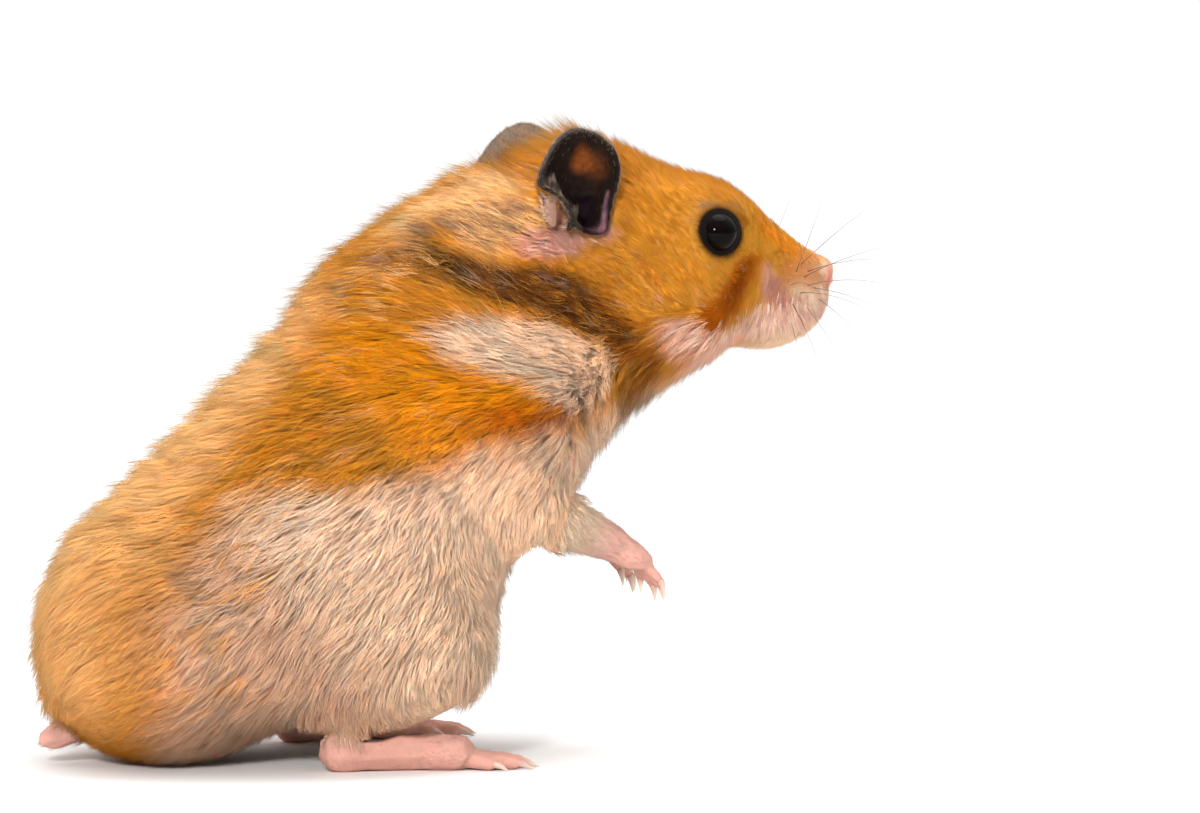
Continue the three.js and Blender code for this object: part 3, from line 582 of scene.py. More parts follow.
# Marks that only some locks of the coat carry, which streak it: the strength is the share of locks.
BODY_STREAKS = (
    ((0.34, 0.13, 0.016), 0.12, 20, ((-50, 0, 30, 20), (0, 0, 70, 20))),
    (PALE_GOLD, 0.2, 12, ((-50, 5, 30, 12), (-10, 8, 66, 8), (4, 8, 78, 8))),
    ((0.6, 0.28, 0.07), 0.3, 9, ((-48, 20, 24, 9), (-40, 22, 14, 8), (-30, 24, 42, 5))),
    ((0.36, 0.25, 0.17), 0.08, 8, ((-38, 22, 22, 8), (-24, 26, 30, 6), (-8, 24, 40, 4))),
    ((0.26, 0.18, 0.13), 0.14, 4, ((-4, 20, 61, 2), (7.6, 22.9, 58, 4), (15, 20, 55, 4))),
    ((0.2, 0.13, 0.08), 0.7, 4, ((-8, 11, 76, 2.2), (2, 13.6, 77, 2.6), (9, 14, 77.6, 2))),
    ((0.2, 0.13, 0.08), 0.3, 6, ((-22, 8, 66, 3), (-10, 12, 74, 3))),
    ((0.36, 0.15, 0.02), 0.16, 5, ((-6, 16, 71, 4), (8, 19, 68, 4), (22, 18, 60, 4))),
)
HEAD_STREAKS = (
    ((0.36, 0.12, 0.006), 0.25, 10, ((-10, 12, -2, 12), (6, 8, 4, 8))),
    ((0.59, 0.28, 0.05), 0.08, 10, ((-10, 12, 2, 10), (6, 8, 4, 8))),
    ((0.44, 0.24, 0.17), 0.06, 3, ((-4, 15.5, -4, 2), (-9, 16, -5, 3))),
    ((0.82, 0.62, 0.5), 0.45, 3, ((20.5, 5, -7.6, 2.4), (14, 7, -9.6, 2.8), (8, 8, -12, 3),
                                  (-4, 15.6, -12, 3.4))),
    ((0.4, 0.16, 0.13), 0.35, 3, ((12.5, 9, -4, 1.6), (15.5, 8, -7, 2.2), (19, 6, -8, 1.6))),
    ((0.42, 0.13, 0.02), 0.25, 3, ((21, 3, -3, 2.5), (14, 6, 0, 3))),
    ((0.72, 0.48, 0.38), 0.35, 2.5, ((-16, 12.6, 3.4, 1), (-26, 14, 3, 2))),
)
STREAK_STRENGTH = 0.8
STREAK_EDGE = (-0.04, 0.1)  # how far a lock's lot is under its mark's share where the streak shows
LOT_SPREAD, LOT_STEP = 7, 0.37  # give each mark locks of its own
FOOT_PINK = (0.66, 0.34, 0.27)
FOOT_HAIR = (0.76, 0.52, 0.42)
FOOT_NODES = ("hind_foot", "forepaw", "tail")
CUFF = (0.45, 0.95)  # how far down the forearm the coat's colour gives way to the paw's
LID_REACH = 0.4  # how far the dark rim of the lids goes past the eye
RIM_FADE, LASH_FADE, LASH_STRENGTH = (0.5, 0), (1.3, 0.2), 0.75  # past the rim


def on_strokes(places, strokes, edge):
    """How far places are on a run of rounds, from 0 to 1 over the width of its edge."""
    rounds = np.array(strokes, float)
    depth = np.full(len(places), -1e9)
    for (*start, first), (*end, last) in zip(rounds, rounds[1:]):
        run = np.subtract(end, start)
        share = np.clip((places - start) @ run / (run @ run), 0, 1)
        gap = np.linalg.norm(places - (start + share[:, None] * run), axis=1)
        depth = np.maximum(depth, first + (last - first) * share - gap)
    return eased(depth / edge, -0.5, 0.5)


def from_eye(places):
    """The distance from places to the middle of the eye on their side."""
    return np.linalg.norm(folded(to_head(places)) - EYE_AT - EYE_SET, axis=1)


def markings(places, owners, lots=None):
    """The colours of the coat at places on it; a lot from 0 to 1 for each decides on its streaks."""
    moved = drifted(places, *BODY_DRIFT)
    slope = (moved[:, 0] + moved[:, 2]) / math.sqrt(2)
    height = (moved[:, 2] - moved[:, 0]) / math.sqrt(2)
    line = np.interp(slope, *zip(*BELLY_LINE))
    colour = mixed(GOLDEN, BODY_GOLD, eased(to_head(places)[:, 0], *HEAD_FADE))
    for mark in BACK_MARKS:
        colour = painted(colour, folded(moved), mark)
    pale = mixed(CREAM, GREIGE, eased(slope, *GREIGE_FADE))
    width = EDGE_WIDTH + EDGE_GROWTH * eased(slope, *SOFTER_FADE)
    colour = mixed(colour, pale, eased((line - height) / width, -1, 1))
    for mark in SIDE_MARKS:
        colour = painted(colour, folded(moved), mark)
    if lots is not None:
        colour = streaked(colour, folded(moved), BODY_STREAKS, lots)
    local = folded(to_head(drifted(places, *HEAD_DRIFT)))
    for mark in HEAD_MARKS:
        colour = painted(colour, local, mark)
    if lots is not None:
        colour = streaked(colour, local, HEAD_STREAKS, lots)
    feet = belongs(owners, *FOOT_NODES)
    pink = FOOT_HAIR if lots is not None else FOOT_PINK
    colour[feet] = mixed(colour, pink, eased(arm_share(places), *CUFF))[feet]
    gap = from_eye(places) - EYE_RADIUS - LID_REACH
    colour = mixed(colour, LASH, LASH_STRENGTH * eased(gap, *LASH_FADE))
    return mixed(colour, BLACK, eased(gap, *RIM_FADE))


def painted(colour, places, mark):
    """Colours with one mark on them."""
    paint, strength, edge, strokes = mark
    return mixed(colour, paint, strength * on_strokes(places, strokes, edge))


def streaked(colour, places, marks, lots):
    """Colours with marks that only the locks with low lots carry."""
    for index, (paint, strength, edge, strokes) in enumerate(marks):
        lot = (lots * LOT_SPREAD + index * LOT_STEP) % 1
        share = strength * on_strokes(places, strokes, edge)
        colour = mixed(colour, paint, STREAK_STRENGTH * eased(share - lot, *STREAK_EDGE))
    return colour


# The colours of the ear, and its marks in the left ear's own frame.
EAR_DARK = (0.014, 0.008, 0.006)
# the ear's skin with painted light shining through its thin middle
EAR_AMBER_GLOW = (0.19, 0.05, 0.01)
# painted shade deep in the ear's channel
CHANNEL_SHADE = (0.01, 0.005, 0.007)
EAR_GREY = (0.11, 0.085, 0.068)
EAR_LILAC = (0.22, 0.1, 0.13)
EAR_LEAF = (0.4, 0.21, 0.15)
EAR_BACK = (0.18, 0.125, 0.09)
EAR_MARKS = (
    # amber middle of the ear: its skin, with painted light shining through the thin ear
    (EAR_AMBER_GLOW, 0.55, 3, ((1.4, -1, 11, 1.2), (2, -1.5, 7.8, 1.8))),
    (EAR_AMBER_GLOW, 0.9, 1.8, ((-1.2, -0.6, 11.4, 1.1), (-0.6, -1.2, 8.4, 1.7))),
    # painted shade deep in the ear's channel
    (CHANNEL_SHADE, 1, 2, ((0, -2.5, 1.5, 2.2), (0.5, -2, -1, 1.5))),
    (EAR_GREY, 0.85, 2, ((-7.8, 2.8, 5.2, 0.8), (-5, 2, 4.4, 1.5), (-3.6, 1.4, 2, 1), (-2.6, 1, -0.6, 0.7))),
    # rim
    (EAR_GREY, 0.65, 0.9, ((-9.2, 3.5, 5.6, 0.5), (-8.2, 3.2, 8.4, 0.5), (-6.3, 2.8, 11, 0.5),
                           (-4.2, 2.4, 12.6, 0.5), (-2, 2.2, 13.1, 0.5), (0.4, 2.2, 12.5, 0.4),
                           (2.4, 2.2, 11, 0.3))),
    (EAR_LILAC, 0.6, 1.8, ((0.4, 0, 1, 0.4), (0.6, 0.4, -0.8, 0.8))),
    (EAR_LILAC, 0.95, 0.7, ((2.5, 0.8, 3.8, 0.3), (2.1, 0.8, 1.4, 0.45), (1.5, 0.8, -1, 0.7))),  # tragus
    (EAR_LEAF, 0.95, 1, ((-6.4, 2.3, 4.2, 0.7), (-6.8, 2.3, 0, 1.4))),  # antitragus
)
EAR_MOTTLE = (0.5, 61)  # size of the spots that mottle its skin, and their seed
MOTTLE_LEAST, MOTTLE_RANGE = 0.65, 0.7  # how light they are
# The same for the fine hair on the inside of the ear.
EAR_HAIR = (0.21, 0.165, 0.135)
EAR_HAIR_MARKS = (
    ((0.06, 0.035, 0.025), 0.9, 2, ((0.5, -1.5, 9, 3), (1, -2, 2, 2))),
    ((0.7, 0.47, 0.34), 0.9, 1.2, ((-7.6, 2, 4, 0.8), (-7.8, 2, 0, 1.4), (-5.6, 2, -1, 1))),
    ((0.3, 0.23, 0.18), 0.8, 1.6, ((-5.2, 2, 4.2, 1.2), (-3, 1, -0.4, 0.8))),
)
BACK_HAIR_LIGHTER = 1.6  # than the skin of the ear's back
# Rounds and density of the tufts in the ear.
EAR_TUFTS = (((-5.4, 2, 4.6, 1.8), 0.8), ((-3.4, 1, 1.4, 1.4), 0.6), ((-6.8, 2, 2.2, 2.6), 0.7))


def ear_markings(local, outside):
    """The colours of an ear at places in its own frame; outside is 1 on the back of the ear."""
    colour = np.tile(EAR_DARK, (len(local), 1))
    for mark in EAR_MARKS:
        colour = painted(colour, local, mark)
    colour = mixed(colour, EAR_BACK, outside)
    return colour * (MOTTLE_LEAST + MOTTLE_RANGE * cloud(local, *EAR_MOTTLE))[:, None]


# ---- ears and lids

# The ear is a bowl about its channel, in a frame of its own: forward, out of the head and up.
EAR_RIM = (
    (1.9, 1.2, -1.7), (2.5, 1.5, 0.3), (2.8, 1.8, 2.4), (3.4, 2.2, 4.7), (3.8, 2.4, 7), (3.4, 2.3, 9.3),
    (2.2, 2.2, 11), (0, 2.1, 12.4), (-2.2, 2.1, 13), (-4.2, 2.3, 12.6), (-6.3, 2.8, 11), (-8.1, 3.5, 8.4),
    (-9.2, 4.1, 5.6), (-7.4, 4, 4.5), (-5.8, 3.6, 3.6), (-4.2, 3, 1.6), (-2.9, 2.3, -0.6), (-0.8, 1.5, -1.7),
)
EAR_DEPTH = 3.2
EAR_SPOKES, EAR_RINGS = 96, 26
EAR_CHANNEL, RING_SPREAD = 0.04, 0.8  # the first ring's size as a share of the rim's, and their spacing
EAR_WALL, EAR_RIM_WALL = 0.6, 0.55
RIM_START = 0.75  # the share of the way to the rim where its wall begins
FOLD_END = 0.2  # the share of the way back from the rim where folds have their full height
# Raised folds on the inside of the ear: height, half width and the line they follow, as forward and up.
EAR_FOLDS = (
    (1.1, 0.75, ((-6.5, 5.4), (-3.6, 4.2), (-2.2, 1.6), (-1.8, -1.2))),  # antihelix
    (0.9, 0.5, ((-1.6, 3.9), (0, 3.5), (2, 3.9))),  # over the channel
    (-0.5, 1.3, ((-5.5, 8), (-3.6, 6.4))),
)
# Lobes at the foot of the ear: place, radii and lean in degrees.
EAR_LOBES = (
    ((2.1, 0.8, 1.2), (0.36, 0.45, 2.6), 8),  # tragus
    ((-6.6, 1.9, 1.9), (1.15, 0.4, 3), -10),  # antitragus
    ((-3.2, 1.8, 0.4), (0.7, 0.5, 2.2), 24),
)
# What belongs to an ear: how far past its rim, below and above its bowl, and round its rim and lobes.
EAR_EDGE, EAR_BELOW, EAR_ABOVE, RIM_MARGIN, LOBE_MARGIN = 1.12, 0.6, 2.4, 0.75, 0.4
RIM_STEPS = 49
EAR_SIZE = 16  # nothing of the ear is further from its channel
# How the flesh is drawn in under the bowl: fully inside this share, with a gap, up to a height.
HOLLOW_SHARE, HOLLOW_GAP, HOLLOW_HEIGHT = 0.85, 0.5, 9
LID_WALL = 0.22
LID_GAP = 0.06
LID_OPENING = (46, 60)  # half the opening's angle across and upright, as seen from the eye's middle
LID_BACK = 118  # the angle from the opening's middle to the hidden edge of the lids
LID_EDGE = (-0.25, 0.3)  # where the wall thickens, as shares of the way back
LID_SPOKES, LID_RINGS = 72, 16
POLE_GAP = 0.08  # the angle from a ball's pole to its first ring, in radians


def grid_faces(rows, columns):
    """Triangles of a grid of points whose columns close on themselves."""
    corner = np.arange((rows - 1) * columns).reshape(rows - 1, columns)
    across = np.roll(corner, -1, axis=1)
    quads = np.stack([corner, across, across + columns, corner + columns], axis=-1).reshape(-1, 4)
    return np.concatenate([quads[:, [0, 1, 2]], quads[:, [0, 2, 3]]])


def closed_grid(rows):
    """A closed mesh from rings of points, each end closed by a point at its middle."""
    count, columns, _ = rows.shape
    first, last = count * columns, count * columns + 1
    points = np.concatenate([rows.reshape(-1, 3), rows[:1].mean(axis=1), rows[-1:].mean(axis=1)])
    ring = np.arange(columns)
    after = np.roll(ring, -1)
    cap = np.stack([np.full(columns, first), after, ring], axis=1)
    base = (count - 1) * columns
    far_cap = np.stack([np.full(columns, last), ring + base, after + base], axis=1)
    return points, np.concatenate([grid_faces(count, columns), cap, far_cap])


def facing_out(points, triangles):
    """The mesh with its faces turned to point outwards."""
    a, b, c = triangle_corners(points, triangles)
    inside_out = np.einsum("ij,ij->", a, np.cross(b, c)) < 0
    return points, triangles[:, ::-1] if inside_out else triangles


def closed_curve(points, shares):
    """Places along a smooth closed curve through points, at shares of the way round."""
    points = np.array(points, float)
    spot = np.asarray(shares) * len(points)
    index = np.floor(spot).astype(int)
    part = (spot - index)[:, None]
    a, b, c, d = (points[(index + step) % len(points)] for step in (-1, 0, 1, 2))
    return 0.5 * (2 * b + (c - a) * part + (2 * a - 5 * b + 4 * c - d) * part**2
                  + (3 * b - a - 3 * c + d) * part**3)


def to_line(places, line):
    """The distance from places to a line with bends, in as many dimensions as they have."""
    gaps = np.full(places.shape[:-1], 1e9)
    for start, end in zip(np.array(line, float), np.array(line[1:], float)):
        run = end - start
        share = np.clip((places - start) @ run / (run @ run), 0, 1)[..., None]
        gaps = np.minimum(gaps, np.linalg.norm(places - start - share * run, axis=-1))
    return gaps


def bowl_under(local):
    """How far places are from the channel to the rim, as a share, and the height of the bowl there."""
    rim = closed_curve(EAR_RIM, np.arange(EAR_SPOKES) / EAR_SPOKES)
    about, rim_about = np.arctan2(local[:, 2], local[:, 0]), np.arctan2(rim[:, 2], rim[:, 0])
    reach = np.interp(about, rim_about, np.hypot(rim[:, 0], rim[:, 2]), period=2 * math.pi)
    lift = np.interp(about, rim_about, rim[:, 1], period=2 * math.pi)
    share = np.hypot(local[:, 0], local[:, 2]) / reach
    return share, lift * share**2 - EAR_DEPTH * (1 - share**2)


def in_ear_frame(places, side, sign):
    """Places of the body's frame in that of an ear."""
    centre, axes = ear_frame(side, sign)
    return (places - centre) @ np.linalg.inv(axes)


def by_ear(places):
    """For each ear: its name, the places in its frame, their share of the way to its rim, and its bowl."""
    for side, sign in SIDES:
        local = in_ear_frame(places, side, sign)
        yield ("ear_" + side, local, *bowl_under(local))


def hollowed(points):
    """The flesh drawn in under the bowls of the ears."""
    for side, sign in SIDES:
        local = in_ear_frame(points, side, sign)
        share, bowl = bowl_under(local)
        over = np.clip(local[:, 1] - bowl + HOLLOW_GAP, 0, None) * (local[:, 1] < HOLLOW_HEIGHT)
        drop = over * eased(share, EAR_EDGE, HOLLOW_SHARE)
        points = points - drop[:, None] * ear_frame(side, sign)[1][1]
    return points


def ear_owned(points, owners):
    """The owners, with what is on an ear given to the ear, and what is near it to the head."""
    owners = owners.copy()
    steps = np.linspace(0, 1, RIM_STEPS)
    for ear, local, share, bowl in by_ear(points):
        above = local[:, 1] - bowl
        near = (share < EAR_EDGE) & (above > -EAR_BELOW - EAR_BELOW * share**2) & (above < EAR_ABOVE)
        for at, radii, _ in EAR_LOBES:
            near |= np.linalg.norm((local - at) / (np.array(radii) + LOBE_MARGIN), axis=1) < 1
        close = np.linalg.norm(local, axis=1) < EAR_SIZE
        near[close] |= to_line(local[close], closed_curve(EAR_RIM, steps)) < RIM_MARGIN
        owners[belongs(owners, ear) & ~near] = NODE_NAMES.index("head")
        owners[near] = NODE_NAMES.index(ear)
    return owners


def ear_sheet(shift):
    """The ear's bowl as rings of points, moved along its normal by a share of its wall."""
    rim = closed_curve(EAR_RIM, np.arange(EAR_SPOKES) / EAR_SPOKES)
    rings = (np.linspace(EAR_CHANNEL, 1, EAR_RINGS) ** RING_SPREAD)[:, None, None]
    sheet = rim[None] * np.concatenate([rings, rings**2, rings], axis=2)
    sheet[..., 1:2] -= EAR_DEPTH * (1 - rings**2)
    for height, width, line in EAR_FOLDS:
        rise = height * np.exp(-((to_line(sheet[..., [0, 2]], line) / width) ** 2))
        sheet[..., 1] += rise * eased(1 - rings[..., 0], 0, FOLD_END)
    round_ring = np.roll(sheet, -1, axis=1) - np.roll(sheet, 1, axis=1)
    outward = np.gradient(sheet, axis=0)
    normal = unit(np.cross(round_ring, outward))
    wall = EAR_WALL + (EAR_RIM_WALL - EAR_WALL) * eased(rings, RIM_START, 1)
    return sheet + normal * wall * shift


def ear_bowl():
    """The bowl of the ear, closed round its rim and over its channel."""
    inner, outer = ear_sheet(0.5), ear_sheet(-0.5)
    return facing_out(*closed_grid(np.concatenate([inner, outer[::-1]])))


def ball(radii, segments=24, rings=14):
    """An ellipsoid about the origin."""
    down = np.linspace(POLE_GAP, math.pi - POLE_GAP, rings)[:, None]
    about = np.linspace(0, 2 * math.pi, segments, endpoint=False)[None]
    rows = np.stack([np.sin(down) * np.cos(about), np.sin(down) * np.sin(about),
                     np.cos(down) * np.ones_like(about)], axis=-1) * radii
    return facing_out(*closed_grid(rows))


def ear_parts(side, sign):
    """The ear's closed meshes in the body's frame."""
    place, axes = ear_frame(side, sign)
    parts = [ear_bowl()]
    for at, radii, lean in EAR_LOBES:
        points, triangles = ball(radii)
        rows = np.array(Matrix.Rotation(math.radians(lean), 3, "Y"))
        parts.append((points @ rows.T + at, triangles))
    return [facing_out(points @ axes + place, triangles) for points, triangles in parts]


def eye_frame(sign):
    """The place of an eye, and rows that turn its own frame, with z out of the head, into the body's."""
    place = from_head(on_side(EYE_AT, sign) + EYE_SET)
    out = unit(on_side(EYE_OUTLOOK, sign) @ HEAD_AXES)
    ahead = unit(np.cross(np.cross(out, HEAD_AXES[0]), out))
    return place, np.array([ahead, np.cross(out, ahead), out])


def lid(sign):
    """The lids, as a thick cap over the eye with an oval opening."""
    place, axes = eye_frame(sign)
    about = np.linspace(0, 2 * math.pi, LID_SPOKES, endpoint=False)
    across, upright = np.radians(LID_OPENING)
    edge = 1 / np.sqrt((np.cos(about) / across) ** 2 + (np.sin(about) / upright) ** 2)
    share = np.linspace(0, 1, LID_RINGS)[:, None]
    down = edge + (math.radians(LID_BACK) - edge) * share
    outward = np.stack([np.sin(down) * np.cos(about), np.sin(down) * np.sin(about), np.cos(down)], axis=-1)
    inner = outward * (EYE_RADIUS + LID_GAP)
    outer = outward * (EYE_RADIUS + LID_GAP + LID_WALL * eased(share, *LID_EDGE))[..., None]
    rows = np.concatenate([inner[::-1], outer])
    joined = np.concatenate([rows, rows[:1]])
    points, triangles = joined[:-1].reshape(-1, 3), grid_faces(len(joined), len(about))
    return facing_out(points @ axes + place, triangles % len(points))


# ---- the skin

NODE_GROWTH = 0.2  # closes the cuts between the solids
BODY_VOXEL, SKIN_VOXEL = 0.8, 0.3
SMOOTHING = (("eye", 0), ("nose", 2), ("muzzle", 4), ("head", 9), ("", 30))  # rounds on each part
NOSTRILS = (((25.2, 1.15, -3.3), 0.55, 0.9), ((24.6, 1.75, -3.7), 0.42, 0.6))  # place, radius, depth
MOUTH = ((25.4, 0, -5.2), (24.6, 0, -7.2), (22.4, 2.4, -8.9), (18.5, 4.6, -9.6), (15.5, 5.6, -9.2))
NOSE_CREASE = ((26.2, 0, -5), (24.6, 1.6, -5.2), (23.6, 2.4, -4.6))
NOSE_SWELL = ((24.6, 0, -1.8), 3.4, 0.75)  # place, radius and height
GROOVES = ((MOUTH, 0.34, 0.5), (NOSE_CREASE, 0.5, 0.75))  # line, half width and depth
NOSE_PAD = ((25, 0, -3.7), (1.5, 1.9, 1.9))  # place and radii
PAD_EDGE = (1.25, 0.95)  # from where hair grows to where none does, as shares of the pad
RIM_EDGE, RIM_BARENESS = 0.1, 0.36
EAR_LIE = (1, 0.4, 1)  # how much of the way to its rim the hair on an ear takes along each axis
# Rods that carry a foot or the tail up into the flesh, in the joints' frame: both ends and their radii.
LIMB_RODS = (
    ((-15.5, 17.5, 6.4), (-11, 18, 14), 3, 5),
    ((24, 10.5, 30.5), (10.5, 17.5, 36.5), 2.5, 4),
    ((-50, 0, 6), (-38, 0, 12), 2.4, 4),
)
ROD_SPOKES, ROD_RINGS = 20, 16
DEPTH_ROUNDS = 6  # rounds of smoothing for the depth of the coat
CREST_IN_SKIN, CREST_IN_COAT = 0.4, 0.6  # the shares of a crest's height that the flesh and the hair give
SKIN_SHARE = 0.42  # of its faces that the skin keeps, most of them on the face, ears and feet
# Where the skin stays fine: from and to these distances off the eye, the muzzle's middle and the ear.
FINE_EYE, FINE_MUZZLE, FINE_EAR = (7, 5), (12, 16), (10, 6)
EAR_FINENESS = 0.6


def body_flesh():
    """The head, trunk and thighs as one smooth mesh, drawn in from the tips of the coat to the skin."""
    parts = []
    for name in NODE_NAMES:
        if not name.startswith(("ear_", *FOOT_NODES)):
            points, triangles = node_mesh(name)
            parts.append((points + normals_of(points, triangles) * NODE_GROWTH, triangles))
    points, triangles = fused(parts, BODY_VOXEL)
    owners = SOLIDS.nearest(points)
    rounds_left = np.zeros(len(points))
    for prefix, rounds in reversed(SMOOTHING):
        rounds_left[belongs(owners, prefix)] = rounds
    while rounds_left.max() > 0:
        points = smoothed(points, triangles, 1, np.minimum(rounds_left, 1))
        rounds_left = np.maximum(rounds_left - 1, 0)
    _, _, depth = coat_at(points, owners)
    depth = smoothed(np.repeat(depth[:, None], 3, axis=1), triangles, DEPTH_ROUNDS)[:, 0]
    depth = depth + NODE_GROWTH - crest_at(points) * CREST_IN_SKIN
    points = smoothed(points - normals_of(points, triangles) * depth[:, None], triangles, 2)
    return smoothed(hollowed(points), triangles, 1), triangles


def rod(start, end, first, last, sign=1):
    """A rod with round ends between two places of the joints' frame."""
    start, end = on_side(start, sign) + BODY_SHIFT, on_side(end, sign) + BODY_SHIFT
    points, triangles = ball(1, ROD_SPOKES, ROD_RINGS)
    length = np.linalg.norm(end - start)
    far = points[:, 2:] > 0
    points = points * np.where(far, last, first) + (0, 0, 1) * far * length
    turn = Vector((0, 0, 1)).rotation_difference(Vector(end - start)).to_matrix()
    return points @ np.array(turn).T + start, triangles


def feet():
    """The feet and tail, with rods that carry them up into the flesh."""
    parts = [node_mesh(name) for name in NODE_NAMES if name.startswith(FOOT_NODES)]
    for start, end, first, last in LIMB_RODS:
        parts += [rod(start, end, first, last, sign) for _, sign in sides_of(start)]
    return parts


def pressed(points, normals):
    """The skin with its nostrils and the line of the mouth pressed in, and the top of the nose raised."""
    local = folded(to_head(points))
    sunk = np.zeros(len(points))
    for place, radius, depth in NOSTRILS:
        gap = np.linalg.norm(local - place, axis=1)
        sunk = np.maximum(sunk, depth * np.exp(-((gap / radius) ** 2)))
    for line, width, depth in GROOVES:
        sunk = np.maximum(sunk, depth * np.exp(-((to_line(local, line) / width) ** 2)))
    place, radius, height = NOSE_SWELL
    sunk -= height * np.exp(-((np.linalg.norm(local - place, axis=1) / radius) ** 2))
    return points - normals * sunk[:, None]


def bare(places):
    """1 where no hair grows: the nose's pad and the rim of the lids."""
    centre, radii = NOSE_PAD
    local = folded(to_head(places))
    pad = eased(np.linalg.norm((local - centre) / radii, axis=1), *PAD_EDGE)
    rim = eased(from_eye(places), EYE_RADIUS + LID_REACH + RIM_EDGE, EYE_RADIUS + LID_REACH - RIM_EDGE)
    return np.maximum(pad, rim * RIM_BARENESS)


def ear_places(places, owners):
    """For places on the ears: where they are in the ear's frame, and the way to its rim."""
    local, rimward = np.zeros_like(places), np.zeros_like(places)
    for side, sign in SIDES:
        chosen = belongs(owners, "ear_" + side)
        local[chosen] = in_ear_frame(places[chosen], side, sign)
        rimward[chosen] = unit(local[chosen] * EAR_LIE) @ ear_frame(side, sign)[1]
    return local, rimward


def largest_piece(points, triangles):
    """The mesh without the small shells that fusing may leave."""
    label = np.arange(len(points))
    while True:
        lowest = label[triangles].min(axis=1)
        after = label.copy()
        for corner in range(3):
            np.minimum.at(after, triangles[:, corner], lowest)
        after = after[after]
        if (after == label).all():
            break
        label = after
    kept = label == np.bincount(label).argmax()
    place = np.cumsum(kept) - 1
    return points[kept], place[triangles[kept[triangles[:, 0]]]]


def fineness(points, owners):
    """How much of the skin's detail is kept: 1 on the face, ears and feet, and 0 under long hair."""
    fine = np.where(belongs(owners, "nose", "ear_", *FOOT_NODES), 1.0, 0.0)
    local = folded(to_head(points))
    fine = np.maximum(fine, eased(from_eye(points), *FINE_EYE))
    fine = np.maximum(fine, eased(local[:, 0], *FINE_MUZZLE) * belongs(owners, "muzzle"))
    return np.maximum(fine, eased(np.linalg.norm(local - EAR_AT, axis=1), *FINE_EAR) * EAR_FINENESS)


def skin_mesh():
    """The whole skin: the points, the triangles and the nearest node to each point."""
    parts = [body_flesh(), *feet()]
    for side, sign in SIDES:
        parts += [*ear_parts(side, sign), lid(sign)]
    points, triangles = fused(parts, SKIN_VOXEL)
    points, triangles = largest_piece(points, triangles)
    owners = ear_owned(points, SOLIDS.nearest(points))
    points = smoothed(points, triangles, 2)
    points = smoothed(points, triangles, 3, ~belongs(owners, "ear_", "eye_"))
    points = pressed(points, normals_of(points, triangles))
    points, triangles = thinned(points, triangles, SKIN_SHARE, fineness(points, owners))
    return points, triangles, ear_owned(points, SOLIDS.nearest(points))


EAR_TURN = (-0.1, 0.35)  # how far a normal on the ear points inwards, from its bowl to its back
# How thick the hair is in the bowl, what it gains at the rim, and the shares of the way where it does.
BOWL_HAIR, RIM_HAIR, RIM_HAIR_EDGE = 0.008, 0.6, (0.85, 0.97)
TUFT_EDGE = (1.2, 0.6)  # shares of a tuft's radius
# How far from an ear the coat lies low: past its rim, and out from its channel.
EAR_CLEARANCE, EAR_HEIGHT_CLEARANCE, LOW_COAT = (1.0, 1.7), (5, 8), 0.35
GAP_UNDER_BOWL = 3.5  # how deep the gap under the bowl of an ear is


def behind_ear(normals, owners):
    """1 on the back of an ear, and 0 in its bowl."""
    outward = np.zeros(len(normals))
    for side, sign in SIDES:
        chosen = belongs(owners, "ear_" + side)
        outward[chosen] = (normals[chosen] @ np.linalg.inv(ear_frame(side, sign)[1]))[:, 1]
    return eased(-outward, *EAR_TURN)


def tints(places, normals, owners, lots=None):
    """The colours of skin, or of hair when it has lots, at places on the body and on the ears."""
    colour = markings(places, owners, lots)
    on_ear = belongs(owners, "ear_")
    local, _ = ear_places(places, owners)
    local, outside = local[on_ear], behind_ear(normals, owners)[on_ear]
    if lots is None:
        colour[on_ear] = ear_markings(local, outside)
    else:
        inside = np.tile(EAR_HAIR, (len(local), 1))
        for mark in EAR_HAIR_MARKS:
            inside = painted(inside, local, mark)
        colour[on_ear] = mixed(inside, np.array(EAR_BACK) * BACK_HAIR_LIGHTER, outside)
    return colour


def ear_tufts(local):
    """How thick the tufts in the bowl of the ear are."""
    cover = np.zeros(len(local))
    for (*place, radius), density in EAR_TUFTS:
        gap = np.linalg.norm(local - place, axis=1)
        cover = np.maximum(cover, density * eased(gap, radius * TUFT_EDGE[0], radius * TUFT_EDGE[1]))
    return cover


def ear_cover(places, normals, owners):
    """How thick the hair is: on the ears mostly at the back, the rim and in tufts, and none beneath them."""
    local, _ = ear_places(places, owners)
    share, _ = bowl_under(local)
    bowl = np.maximum(BOWL_HAIR + RIM_HAIR * eased(share, *RIM_HAIR_EDGE), ear_tufts(local))
    on_ear = np.maximum(bowl, behind_ear(normals, owners))
    return np.where(belongs(owners, "ear_"), on_ear, ~beneath_ear(places))


def beside_ear(places):
    """How high the coat stands beside the ears, where it lies low, as a share of its depth."""
    height = np.ones(len(places))
    for _, local, share, _ in by_ear(places):
        out = eased(np.abs(local[:, 1]), *EAR_HEIGHT_CLEARANCE)
        apart = np.maximum(eased(share, *EAR_CLEARANCE), out)
        height = np.minimum(height, raised(apart, LOW_COAT))
    return height


def beneath_ear(places):
    """Whether places are in the gap between the bowl of an ear and the head."""
    hidden = np.zeros(len(places), bool)
    for _, local, share, bowl in by_ear(places):
        hidden |= (share < 1) & (local[:, 1] > bowl - GAP_UNDER_BOWL) & (local[:, 1] < bowl + EAR_ABOVE)
    return hidden


# ---- the coat

